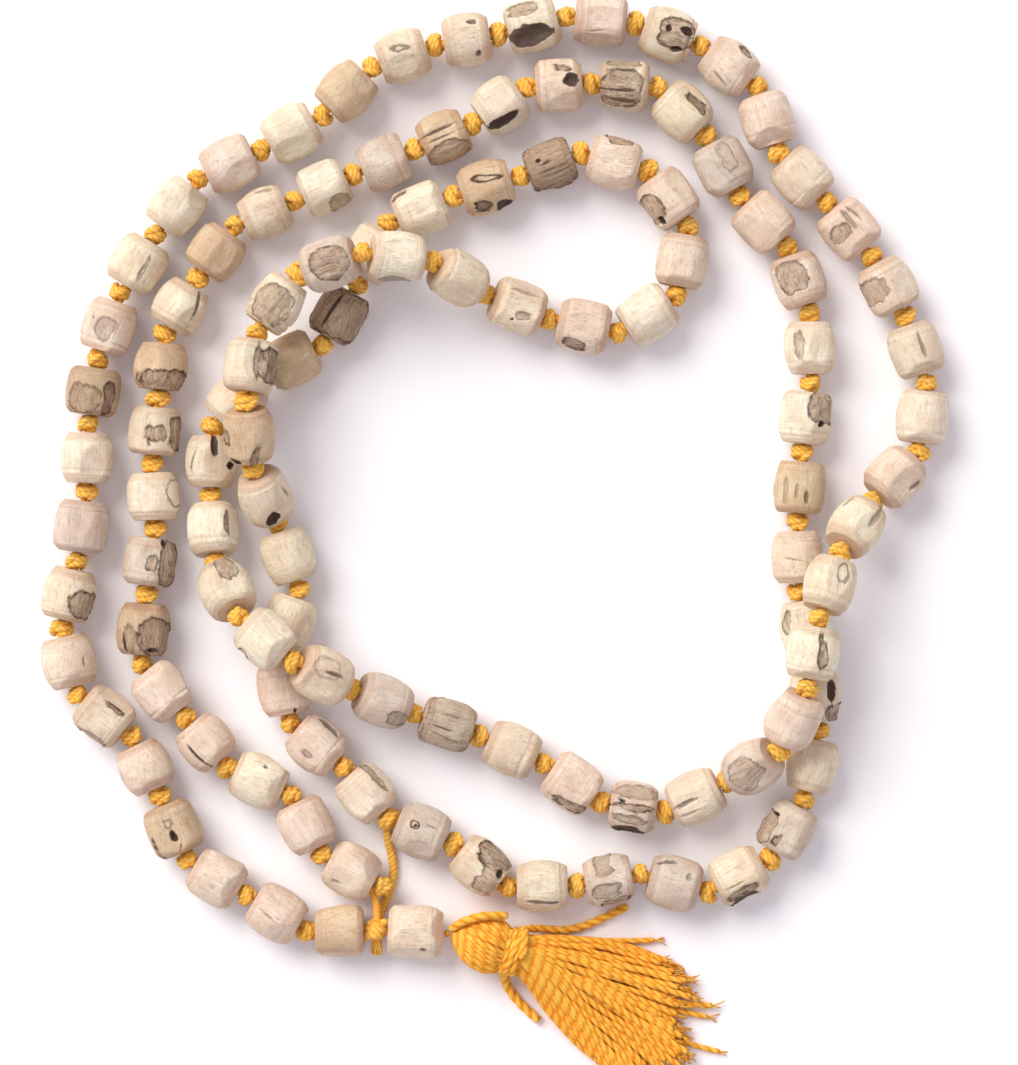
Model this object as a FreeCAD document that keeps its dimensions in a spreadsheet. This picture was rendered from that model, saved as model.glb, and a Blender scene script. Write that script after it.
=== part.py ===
"""Mala of 108 counting beads and one guru bead, knotted on one thread and finished with a tassel.

The strand lies on a flat surface in loose laps that cross over each other.  X runs to the right,
Y away from the tassel's side, +Z is up, and the origin is on the surface under the middle of the
strand and tassel.  All lengths are millimetres and all angles degrees.
"""
import FreeCAD
import Part
import Sketcher
import math
import os

from FreeCAD import Placement, Rotation, Vector

X_AXIS = Vector(1, 0, 0)
Z_AXIS = Vector(0, 0, 1)
ORIGIN = Vector(0, 0, 0)
FULL_TURN = 360

# ---------------------------------------------------------------------------------------------
# Driving dimensions
# ---------------------------------------------------------------------------------------------
DIMENSIONS = {
    "bead_diameter": 9.4,           # widest diameter of a turned wooden bead
    "bead_crown_rise": 0.45,        # swell of the barrel from its shoulders to its middle
    "bead_end_diameter": 6.2,       # flat end face, inside the end chamfer
    "bead_chamfer_length": 1.1,     # length of the end chamfer along the bore
    "end_play": 0.1,                # gap between a bead's end face and the knot beside it
    "cord_diameter": 1.3,           # stringing thread
    "bore_clearance": 0.05,         # gap all round the thread in a bore
    "knot_diameter": 3.9,           # knot between two beads
    "knot_length": 2.9,             # room a knot takes up along the thread
    "joining_knot_diameter": 4.6,   # knot that gathers both ends of the thread
    "joining_knot_length": 3.9,
    "guru_length": 9.3,             # guru bead, at the joining knot
    "tail_diameter": 1.5,           # loose thread ends
    "pivot_gap": 0.7,               # from the guru bead's end face to the tassel loop's middle
    "loop_diameter": 1.3,           # bight of thread that carries the tassel
    "head_gap": 1.2,                # from the tassel loop's middle to the tassel's head
    "head_diameter": 10.4,          # wound ball at the top of the tassel
    "neck_diameter": 6.4,           # gathered strands under the head
    "binding_thread_diameter": 0.8,  # wraps round the neck
    "wrap_gap": 0.07,               # between two wraps
    "skirt_length": 34.0,           # free strands below the neck
    "skirt_end_width": 24.0,        # the strands fan out on the surface
    "skirt_end_thickness": 4.6,
}

# Angles seen from above, turning from +X towards +Y.
HEAD_HEADING = -15.0
SKIRT_HEADINGS = (-15.0, -19.0, -24.0, -26.0)
SKIRT_STATIONS = (0.0, 0.2, 0.55, 1.0)
BINDING_WRAPS = 3

# The thread's route, knot by knot: from the joining knot, through 108 beads, to the last knot.
# The points suit beads of ROUTE_BEAD_DIAMETER lying with their axes at ROUTE_HEIGHT, and the
# whole lay spreads with the bead's diameter.
ROUTE_BEAD_DIAMETER = 9.4
ROUTE = (
    (-21.1, -65.4, 4.7), (-32.9, -65.7, 4.7), (-43.1, -59.6, 4.7), (-53.2, -53.6, 4.7),
    (-57.9, -42.8, 4.7), (-62.7, -32.7, 4.7), (-71.9, -25.5, 4.7), (-74.6, -14.1, 4.7),
    (-71.9, -2.7, 4.7), (-70.4, 9.0, 4.7), (-70.0, 20.6, 4.7), (-68.4, 31.6, 4.7),
    (-64.6, 42.8, 4.7), (-58.5, 52.8, 4.7), (-51.3, 62.2, 4.7), (-40.6, 67.2, 4.7),
    (-30.3, 73.0, 4.7), (-21.9, 81.2, 4.7), (-11.1, 85.0, 4.7), (-0.2, 86.7, 4.7),
    (11.2, 89.8, 4.7), (23.0, 88.6, 4.7), (34.1, 84.8, 4.7), (43.7, 77.9, 4.7),
    (47.2, 66.6, 4.7), (55.5, 58.2, 4.7), (63.2, 49.2, 4.7), (68.8, 38.8, 4.7),
    (72.5, 27.6, 4.7), (71.1, 15.8, 4.7), (63.1, 7.3, 6.3), (57.2, -1.2, 12.1),
    (53.5, -12.2, 14.5), (51.5, -23.9, 14.7), (47.0, -34.5, 11.7), (38.5, -40.2, 5.8),
    (28.0, -45.4, 4.7), (17.1, -43.8, 4.7), (7.4, -37.2, 4.7), (-3.4, -32.4, 4.7),
    (-14.6, -28.6, 5.7), (-25.1, -24.2, 9.1), (-34.7, -19.5, 14.5), (-43.9, -12.1, 13.7),
    (-48.3, -3.1, 7.3), (-49.1, 8.3, 4.7), (-48.8, 20.1, 4.7), (-40.7, 28.7, 4.7),
    (-30.2, 34.0, 4.7), (-24.5, 44.3, 4.7), (-18.9, 54.7, 4.7), (-8.0, 59.1, 4.7),
    (3.3, 62.7, 4.7), (13.7, 66.5, 4.7), (25.1, 63.6, 4.7), (32.0, 54.1, 4.7),
    (30.0, 42.4, 4.7), (20.0, 36.0, 4.7), (8.4, 38.4, 4.7), (-2.5, 42.6, 6.5),
    (-11.6, 47.7, 12.1), (-23.0, 49.1, 15.0), (-34.1, 45.5, 12.6), (-40.9, 35.8, 13.4),
    (-42.7, 24.2, 14.8), (-41.7, 12.9, 11.1), (-37.8, 3.7, 4.8), (-34.1, -7.5, 4.7),
    (-37.9, -18.6, 4.7), (-35.7, -30.2, 4.7), (-26.6, -37.8, 4.7), (-18.9, -46.5, 4.7),
    (-8.0, -50.9, 4.7), (1.3, -58.1, 4.7), (13.0, -57.9, 4.7), (23.9, -55.9, 4.7),
    (35.3, -58.9, 4.7), (45.9, -53.4, 4.7), (51.7, -43.2, 4.7), (54.3, -31.6, 4.7),
    (53.0, -19.7, 4.7), (50.7, -8.0, 4.7), (50.4, 3.9, 4.7), (51.2, 15.7, 4.7),
    (52.7, 27.5, 4.7), (52.7, 39.4, 4.7), (48.9, 50.6, 4.7), (40.7, 59.1, 4.7),
    (35.2, 69.5, 4.7), (26.8, 77.7, 4.7), (15.5, 78.5, 4.7), (4.5, 77.8, 4.7),
    (-4.5, 71.5, 4.7), (-14.6, 67.1, 4.7), (-24.8, 62.9, 4.7), (-34.9, 58.6, 4.7),
    (-45.0, 54.3, 4.7), (-51.5, 45.3, 4.7), (-57.2, 35.8, 4.7), (-58.2, 24.9, 4.7),
    (-59.2, 13.8, 4.7), (-58.7, 2.7, 4.7), (-60.2, -8.4, 4.7), (-61.0, -20.2, 4.7),
    (-53.6, -29.4, 4.7), (-46.4, -37.7, 4.7), (-35.5, -42.4, 4.7), (-30.4, -52.8, 4.7),
    (-20.0, -57.9, 4.7),
)
# The guru bead's thread leaves the joining knot this way.
GURU_HEADING = -3.0

# A loose thread end lies on the surface between the joining knot and the knot after bead 71.
THREAD_TAIL = ((-19.7, -62.2, 1.5), (-18.8, -59.6, 0.8), (-18.1, -56.2, 0.8), (-18.6, -52.9, 0.8),
               (-19.6, -50.2, 1.9))
TAIL_KNOT = 71
# Loose ends of the neck binding, from beside the binding at the neck's end along the surface.
BINDING_TAIL = ((-0.6, -0.35, 1.9), (0.4, -2.25, 0.8), (2.6, -4.55, 0.8), (5.4, -7.35, 0.8))
UPPER_TAIL = ((2.2, 0.55, 2.0), (5.2, 0.95, 0.9), (9.0, 0.75, 0.8), (12.6, 1.85, 0.8),
              (16.6, 2.15, 0.8))

BEADS = len(ROUTE) - 1
SPINNING_EVERY = 3      # every third bead has a file of its own and turns on the thread
STRAND_STRETCHES = 4    # the other beads, the knots and the thread are kept in four stretches
ARC_SHARE = 0.45        # share of the shorter run that an arc takes up


# ---------------------------------------------------------------------------------------------
# Document, sheet and small helpers
# ---------------------------------------------------------------------------------------------
doc = FreeCAD.newDocument("mala")
sheet = doc.addObject("Spreadsheet::Sheet", "Sizes")
for row, (alias, number) in enumerate(DIMENSIONS.items(), start=1):
    sheet.set(f"A{row}", alias)
    sheet.set(f"B{row}", str(number))
    sheet.setAlias(f"B{row}", alias)
doc.recompute()


def size(alias):
    """A driving dimension, read back from the sheet."""
    return float(sheet.get(alias))


SPREAD = size("bead_diameter") / ROUTE_BEAD_DIAMETER
KNOTS = [Vector(*point) * SPREAD for point in ROUTE]
GURU_DIRECTION = Rotation(Z_AXIS, GURU_HEADING).multVec(X_AXIS)


def bind(item, **expressions):
    """Bind properties of a document object to expressions on the sheet."""
    for name, expression in expressions.items():
        item.setExpression(name, expression)


def pointing(direction, start=Z_AXIS):
    """The rotation that turns the start direction to the given one."""
    return Rotation(start, direction)


def named(item, label):
    """Give a sub-part its label, which also names its file."""
    item.Label = label
    return item


def origin_plane(body, role):
    """One of a body's own origin planes."""
    return next(item for item in body.Origin.OriginFeatures if item.Role == role)


def start_knot_alias(bead):
    """The knot length that applies at the start of a bead: the first bead meets the joining knot."""
    return "joining_knot_length" if bead == 1 else "knot_length"


# ---------------------------------------------------------------------------------------------
# Beads
# ---------------------------------------------------------------------------------------------
def bead_body(name, length, length_expression):
    """A turned barrel bead with chamfered ends and a bore, revolved about its own X axis."""
    body = doc.addObject("PartDesign::Body", name)
    sketch = body.newObject("Sketcher::SketchObject", name + "_profile")
    sketch.AttachmentSupport = (origin_plane(body, "XY_Plane"), [""])
    sketch.MapMode = "FlatFace"

    half = length / 2
    chamfer = size("bead_chamfer_length")
    bore = size("cord_diameter") / 2 + size("bore_clearance")
    crown, rise = size("bead_diameter") / 2, size("bead_crown_rise")
    shoulder = crown - rise
    end = size("bead_end_diameter") / 2
    barrel = half - chamfer
    barrel_radius = (barrel ** 2 + rise ** 2) / (2 * rise)
    sweep = math.asin(barrel / barrel_radius)
    corners = [Vector(-half, bore, 0), Vector(-half, end, 0), Vector(-barrel, shoulder, 0),
               Vector(barrel, shoulder, 0), Vector(half, end, 0), Vector(half, bore, 0)]

    left_end = sketch.addGeometry(Part.LineSegment(corners[0], corners[1]), False)
    left_chamfer = sketch.addGeometry(Part.LineSegment(corners[1], corners[2]), False)
    circle = Part.Circle(Vector(0, crown - barrel_radius, 0), Z_AXIS, barrel_radius)
    side = sketch.addGeometry(
        Part.ArcOfCircle(circle, math.pi / 2 - sweep, math.pi / 2 + sweep), False)
    right_chamfer = sketch.addGeometry(Part.LineSegment(corners[3], corners[4]), False)
    right_end = sketch.addGeometry(Part.LineSegment(corners[4], corners[5]), False)
    wall = sketch.addGeometry(Part.LineSegment(corners[5], corners[0]), False)

    def constrain(kind, *where, label=None, expression=None):
        index = sketch.addConstraint(Sketcher.Constraint(kind, *where))
        if label:
            sketch.renameConstraint(index, label)
            sketch.setExpression("Constraints." + label, expression)

    first, last, x_line, y_line, root = 1, 2, -1, -2, (-1, 1)
    constrain("Coincident", left_end, last, left_chamfer, first)
    constrain("Coincident", left_chamfer, last, side, last)
    constrain("Coincident", side, first, right_chamfer, first)
    constrain("Coincident", right_chamfer, last, right_end, first)
    constrain("Coincident", right_end, last, wall, first)
    constrain("Coincident", wall, last, left_end, first)
    constrain("Vertical", left_end)
    constrain("Vertical", right_end)
    constrain("Symmetric", left_end, first, right_end, last, y_line)
    constrain("Symmetric", left_chamfer, last, right_chamfer, first, y_line)
    constrain("Equal", left_end, right_end)
    constrain("DistanceX", wall, last, wall, first, length,
              label="bead_length", expression=length_expression)
    constrain("DistanceY", *root, left_end, first, bore,
              label="bore_radius", expression="Sizes.cord_diameter / 2 + Sizes.bore_clearance")
    constrain("DistanceY", *root, left_end, last, end, label="end_radius",
              expression="Sizes.bead_end_diameter / 2")
    constrain("DistanceY", *root, left_chamfer, last, shoulder, label="shoulder_radius",
              expression="Sizes.bead_diameter / 2 - Sizes.bead_crown_rise")
    constrain("DistanceX", left_chamfer, first, left_chamfer, last, chamfer,
              label="chamfer_length", expression="Sizes.bead_chamfer_length")
    barrel_text = f"(({length_expression}) / 2 - Sizes.bead_chamfer_length)"
    constrain("Radius", side, barrel_radius, label="barrel_radius",
              expression=f"({barrel_text} ^ 2 + Sizes.bead_crown_rise ^ 2)"
              " / (2 * Sizes.bead_crown_rise)")

    turned = body.newObject("PartDesign::Revolution", name + "_turned")
    turned.Profile = sketch
    turned.ReferenceAxis = (sketch, ["H_Axis"])
    turned.Angle = FULL_TURN
    body.Tip = turned
    return body


def strand_bead(bead):
    """The bead between two knots of the route: it fills the thread from knot to knot."""
    start, finish = KNOTS[bead - 1], KNOTS[bead]
    run = (finish - start).Length
    direction = (finish - start).normalize()
    start_alias = start_knot_alias(bead)
    length_expression = (f"{run:.4f} - Sizes.{start_alias} / 2 - Sizes.knot_length / 2"
                         " - 2 * Sizes.end_play")
    length = run - size(start_alias) / 2 - size("knot_length") / 2 - 2 * size("end_play")
    body = bead_body(f"bead_{bead:03d}", length, length_expression)
    middle = start + direction * (size(start_alias) / 2 + size("end_play") + length / 2)
    body.Placement = Placement(middle, pointing(direction, X_AXIS))
    return body


def guru_bead():
    """The guru bead, beside the joining knot on the tassel's thread."""
    body = bead_body("guru_bead", size("guru_length"), "Sizes.guru_length * 1")
    reach = size("joining_knot_length") / 2 + size("end_play") + size("guru_length") / 2
    body.Placement = Placement(KNOTS[0] + GURU_DIRECTION * reach, pointing(GURU_DIRECTION, X_AXIS))
    return named(body, "guru_bead")


# ---------------------------------------------------------------------------------------------
# Thread and knots
# ---------------------------------------------------------------------------------------------
def cord_stretch(name, start, direction, alias, length_expression):
    """A straight stretch of thread through one bead, from knot face to knot face."""
    stretch = doc.addObject("Part::Cylinder", name)
    bind(stretch, Radius=f"Sizes.{alias} / 2", Height=length_expression)
    stretch.Placement = Placement(start, pointing(direction))
    return stretch


def strand_stretch(bead):
    """The thread inside one bead of the strand."""
    start, finish = KNOTS[bead - 1], KNOTS[bead]
    run = (finish - start).Length
    direction = (finish - start).normalize()
    alias = start_knot_alias(bead)
    return cord_stretch(f"cord_in_bead_{bead:03d}", start + direction * (size(alias) / 2), direction,
                        "cord_diameter", f"{run:.4f} - Sizes.{alias} / 2 - Sizes.knot_length / 2")


def knot(name, centre, directions, diameter_alias, length_alias, seam_heading=0):
    """A round knot with one flat face towards each thread that enters it.

    The ball's seam is turned to the given heading, where no flat face crosses it.
    """
    ball = doc.addObject("Part::Sphere", name + "_ball")
    bind(ball, Radius=f"Sizes.{diameter_alias} / 2")
    ball.Placement = Placement(centre, Rotation(Z_AXIS, seam_heading))
    trimmed = ball
    for number, direction in enumerate(directions, start=1):
        cutter = doc.addObject("Part::Cylinder", f"{name}_cutter_{number}")
        bind(cutter, Radius=f"Sizes.{diameter_alias}", Height=f"Sizes.{diameter_alias}")
        cutter.Placement = Placement(centre + direction * (size(length_alias) / 2),
                                     pointing(direction))
        faced = doc.addObject("Part::Cut", f"{name}_faced_{number}")
        faced.Base = trimmed
        faced.Tool = cutter
        trimmed = faced
    return trimmed


def strand_knot(index):
    """The knot after a bead: the last one faces the joining knot."""
    before = (KNOTS[index - 1] - KNOTS[index]).normalize()
    following = KNOTS[index + 1] if index < BEADS else KNOTS[0]
    after = (following - KNOTS[index]).normalize()
    return knot(f"knot_{index:03d}", KNOTS[index], (before, after), "knot_diameter", "knot_length")


def joining_knot():
    """The knot that gathers both ends of the strand and lets the tassel's thread out."""
    towards = [(KNOTS[1] - KNOTS[0]).normalize(), (KNOTS[BEADS] - KNOTS[0]).normalize(),
               GURU_DIRECTION]
    return named(knot("joining_knot", KNOTS[0], towards, "joining_knot_diameter",
                      "joining_knot_length", seam_heading=-90), "joining_knot")


def closing_stretch():
    """The short thread from the last knot to the joining knot."""
    direction = (KNOTS[0] - KNOTS[BEADS]).normalize()
    run = (KNOTS[0] - KNOTS[BEADS]).Length
    return cord_stretch("cord_at_joining_knot", KNOTS[BEADS] + direction * (size("knot_length") / 2),
                        direction, "cord_diameter",
                        f"{run:.4f} - Sizes.knot_length / 2 - Sizes.joining_knot_length / 2")


def tassel_cord():
    """The thread from the joining knot through the guru bead to the tassel."""
    start = KNOTS[0] + GURU_DIRECTION * (size("joining_knot_length") / 2)
    return named(cord_stretch("tassel_cord", start, GURU_DIRECTION, "cord_diameter",
                              "Sizes.guru_length + 2 * Sizes.end_play"), "tassel_cord")


def thread_tail_points():
    """The loose thread end's points: its ends meet the two knots square on."""
    points = [Vector(*point) * SPREAD for point in THREAD_TAIL]
    first = (points[0] - KNOTS[0]).normalize() * (size("joining_knot_diameter") / 2)
    last = (points[-1] - KNOTS[TAIL_KNOT]).normalize() * (size("knot_diameter") / 2)
    return [KNOTS[0] + first] + points + [KNOTS[TAIL_KNOT] + last]


def beside_binding(points, side):
    """Points beside the neck's end, kept outside the binding on one side of it."""
    return [Vector(NECK_END.x + x, NECK_END.y + side * BINDING_RADIUS + y, z) for x, y, z in points]


def tube_along(name, points, alias):
    """A round tube along straight runs joined by tangent arcs, each as large as its runs allow."""
    corners = [Vector(*point) for point in points]
    edges, here, radii = [], corners[0], []
    for before, corner, after in zip(corners, corners[1:], corners[2:]):
        back, ahead = before - corner, after - corner
        shorter = min(back.Length, ahead.Length)
        turn = math.pi - back.getAngle(ahead)
        back.normalize()
        ahead.normalize()
        trim = ARC_SHARE * shorter
        radius = trim / math.tan(turn / 2)
        bisector = (back + ahead).normalize()
        centre = corner + bisector * math.hypot(trim, radius)
        begin, end = corner + back * trim, corner + ahead * trim
        edges.append(Part.LineSegment(here, begin).toShape())
        edges.append(Part.Arc(begin, centre - bisector * radius, end).toShape())
        here = end
        radii.append(round(radius, 1))
    edges.append(Part.LineSegment(here, corners[-1]).toShape())
    path = doc.addObject("Part::Feature", name + "_path")
    path.Shape = Part.Wire(edges)
    section = doc.addObject("Part::Circle", name + "_section")
    bind(section, Radius=f"Sizes.{alias} / 2")
    section.Placement = Placement(corners[0], pointing(corners[1] - corners[0]))
    tube = doc.addObject("Part::Sweep", name)
    tube.Sections = [section]
    tube.Spine = (path, [f"Edge{number}" for number in range(1, len(edges) + 1)])
    tube.Solid = True
    tube.Frenet = False
    print(name, "arc radii", radii, "length", round(path.Shape.Length, 1))
    return named(tube, name), path


# ---------------------------------------------------------------------------------------------
# Tassel
# ---------------------------------------------------------------------------------------------
HEAD_DIRECTION = Rotation(Z_AXIS, HEAD_HEADING).multVec(X_AXIS)
GURU_END = KNOTS[0] + GURU_DIRECTION * (size("joining_knot_length") / 2 + 2 * size("end_play")
                                        + size("guru_length"))
PIVOT = GURU_END + GURU_DIRECTION * size("pivot_gap")
HEAD_CENTRE = PIVOT + HEAD_DIRECTION * (size("head_diameter") / 2 + size("head_gap"))
HEAD_CENTRE.z = size("head_diameter") / 2
NECK_START = HEAD_CENTRE + HEAD_DIRECTION * math.sqrt(
    (size("head_diameter") / 2) ** 2 - (size("neck_diameter") / 2) ** 2)
WRAP_PITCH = size("binding_thread_diameter") + size("wrap_gap")
NECK_END = NECK_START + HEAD_DIRECTION * (BINDING_WRAPS * WRAP_PITCH)
BINDING_RADIUS = size("neck_diameter") / 2 + size("bore_clearance") + size("binding_thread_diameter")


def tassel_loop():
    """The bight of thread at the guru bead's mouth that the tassel swings on."""
    loop = doc.addObject("Part::Sphere", "tassel_loop")
    bind(loop, Radius="Sizes.loop_diameter / 2")
    loop.Placement.Base = PIVOT
    return named(loop, "tassel_loop")


def tassel_head():
    """The wound ball, cut flat where the neck begins."""
    ball = doc.addObject("Part::Sphere", "tassel_head")
    bind(ball, Radius="Sizes.head_diameter / 2",
         Angle2="acos(Sizes.neck_diameter / Sizes.head_diameter)")
    ball.Placement = Placement(HEAD_CENTRE, pointing(HEAD_DIRECTION))
    return named(ball, "tassel_head")


def tassel_neck():
    """The gathered strands between the head and the skirt."""
    neck = doc.addObject("Part::Cylinder", "tassel_neck")
    bind(neck, Radius="Sizes.neck_diameter / 2",
         Height=f"{BINDING_WRAPS} * (Sizes.binding_thread_diameter + Sizes.wrap_gap)")
    neck.Placement = Placement(NECK_START, pointing(HEAD_DIRECTION))
    return named(neck, "tassel_neck")


def neck_binding():
    """The wraps of thread round the neck, side by side."""
    wraps = []
    for number in range(BINDING_WRAPS):
        wrap = doc.addObject("Part::Torus", f"binding_wrap_{number + 1}")
        bind(wrap, Radius1="Sizes.neck_diameter / 2 + Sizes.binding_thread_diameter / 2"
             " + Sizes.bore_clearance", Radius2="Sizes.binding_thread_diameter / 2")
        wrap.Placement = Placement(NECK_START + HEAD_DIRECTION * (WRAP_PITCH * (number + 0.5)),
                                   pointing(HEAD_DIRECTION))
        wraps.append(wrap)
    binding = doc.addObject("Part::Compound", "neck_binding")
    binding.Links = wraps
    return named(binding, "neck_binding")


def tassel_skirt():
    """The free strands as one plain solid: round at the neck, a flat fan at the far end."""
    sections, place, reached = [], Vector(NECK_END), 0.0
    for number, (heading, share) in enumerate(zip(SKIRT_HEADINGS, SKIRT_STATIONS), start=1):
        forward = Rotation(Z_AXIS, heading).multVec(X_AXIS)
        place += forward * ((share - reached) * size("skirt_length"))
        reached = share
        neck, width, thick = "Sizes.neck_diameter / 2", "Sizes.skirt_end_width / 2", \
            "Sizes.skirt_end_thickness / 2"
        section = doc.addObject("Part::Ellipse", f"skirt_section_{number}")
        bind(section, MajorRadius=f"{neck} + ({width} - {neck}) * {share}",
             MinorRadius=f"{neck} + ({thick} - {neck}) * {share}")
        half_thick = (size("neck_diameter") * (1 - share) + size("skirt_end_thickness") * share) / 2
        lift = (HEAD_CENTRE.z - size("neck_diameter") / 2) * (1 - share) ** 2
        centre = Vector(place.x, place.y, half_thick + lift)
        across = Z_AXIS.cross(forward)
        section.Placement = Placement(centre, Rotation(across, Z_AXIS, forward, "ZXY"))
        sections.append(section)
    skirt = doc.addObject("Part::Loft", "tassel_skirt")
    skirt.Sections = sections
    skirt.Solid = True
    return named(skirt, "tassel_skirt")


# ---------------------------------------------------------------------------------------------
# Assembly
# ---------------------------------------------------------------------------------------------
def stretch_of(bead):
    """Which of the strand's stretches a bead or the knot after it belongs to, from 1."""
    return 1 + (bead - 1) * STRAND_STRETCHES // BEADS


def grouped(label, members):
    """One file for several separate solids of the same kind."""
    group = doc.addObject("Part::Compound", label)
    group.Links = members
    return named(group, label)


beads = {bead: strand_bead(bead) for bead in range(1, BEADS + 1)}
stretches = {bead: strand_stretch(bead) for bead in range(1, BEADS + 1)}
knots = {index: strand_knot(index) for index in range(1, BEADS + 1)}

subparts = [named(beads[bead], f"bead_{bead:03d}")
            for bead in range(SPINNING_EVERY, BEADS + 1, SPINNING_EVERY)]
for number in range(1, STRAND_STRETCHES + 1):
    members = [bead for bead in beads if stretch_of(bead) == number]
    held = [beads[bead] for bead in members if bead % SPINNING_EVERY]
    subparts.append(grouped(f"strand_beads_{number}", held))
    subparts.append(grouped(f"knots_{number}", [knots[bead] for bead in members]))
    thread = [stretches[bead] for bead in members]
    if BEADS in members:
        thread.append(closing_stretch())
    subparts.append(grouped(f"stringing_cord_{number}", thread))

tubes = [
    tube_along("thread_tail", thread_tail_points(), "tail_diameter"),
    tube_along("binding_tail", beside_binding(BINDING_TAIL, -1), "tail_diameter"),
    tube_along("upper_tail", beside_binding(UPPER_TAIL, 1), "tail_diameter"),
]
subparts += [joining_knot(), guru_bead(), tassel_cord(), tassel_loop(), tassel_head(),
             tassel_neck(), neck_binding(), tassel_skirt()]
subparts += [tube for tube, path in tubes]
doc.recompute()

for item in doc.Objects:
    if "Invalid" in item.State or "Error" in item.State:
        raise RuntimeError(f"{item.Name} failed: {item.State}")
for tube, path in tubes:
    section_area = math.pi * (size("tail_diameter") / 2) ** 2
    ratio = tube.Shape.Volume / (section_area * path.Shape.Length)
    print(tube.Label, "volume over section times length", round(ratio, 3))
    if abs(ratio - 1) > 0.02:
        raise RuntimeError(f"{tube.Label} isn't a whole tube")

# The origin goes on the surface, under the middle of everything.
whole = FreeCAD.BoundBox()
for subpart in subparts:
    whole.add(subpart.Shape.optimalBoundingBox(False))
shift = Vector(-whole.Center.x, -whole.Center.y, -whole.ZMin)
for subpart in subparts:
    subpart.Placement = Placement(subpart.Placement.Base + shift, subpart.Placement.Rotation)

thread_length = sum((b - a).Length for a, b in zip(KNOTS, KNOTS[1:]))
print("size", [round(value, 2) for value in (whole.XLength, whole.YLength, whole.ZLength)],
      "shift", [round(value, 3) for value in shift], "thread", round(thread_length, 1))

os.makedirs("parts", exist_ok=True)
for subpart in subparts:
    if subpart.Shape.isNull() or not subpart.Shape.isValid():
        raise RuntimeError(f"{subpart.Label} has no valid shape")
    subpart.Shape.exportStep(os.path.join("parts", subpart.Label + ".step"))
print(len(subparts), "sub-parts written")
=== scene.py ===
"""A mala of turned wooden beads, knotted one by one on orange thread and finished with a tassel.

The beads are turned from small branches, so many of them keep remnants of bark, saw flats, slits
and knot holes.  The script turns one bead blank, copies it for every place on the thread and then
works each copy; it ties the knots, winds the tassel and dresses everything.  Lengths in the code
are millimetres in the row frame unless a name says otherwise; meshes are written in metres.
"""

import logging
import math
from dataclasses import dataclass, field
from enum import Enum
from typing import Callable, Iterable, Optional, Sequence, Union

import bmesh
import bpy
import numpy as np
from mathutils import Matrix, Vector


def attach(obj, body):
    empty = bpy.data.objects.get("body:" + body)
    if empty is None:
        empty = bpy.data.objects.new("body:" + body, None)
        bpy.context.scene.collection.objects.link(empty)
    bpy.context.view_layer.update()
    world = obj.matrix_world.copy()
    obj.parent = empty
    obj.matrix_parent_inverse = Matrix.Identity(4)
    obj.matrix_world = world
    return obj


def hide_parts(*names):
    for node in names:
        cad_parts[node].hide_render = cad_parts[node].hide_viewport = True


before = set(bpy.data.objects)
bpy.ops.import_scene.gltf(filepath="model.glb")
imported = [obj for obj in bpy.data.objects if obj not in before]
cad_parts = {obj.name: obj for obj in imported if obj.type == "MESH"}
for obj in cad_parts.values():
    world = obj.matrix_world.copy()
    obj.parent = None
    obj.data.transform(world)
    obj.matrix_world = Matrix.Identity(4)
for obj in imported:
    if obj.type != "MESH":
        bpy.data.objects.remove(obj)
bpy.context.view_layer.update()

log = logging.getLogger("mala")

MM = 0.001
Array = np.ndarray
Triple = tuple[float, float, float]
Socket = Union[bpy.types.NodeSocket, float, tuple]

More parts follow.
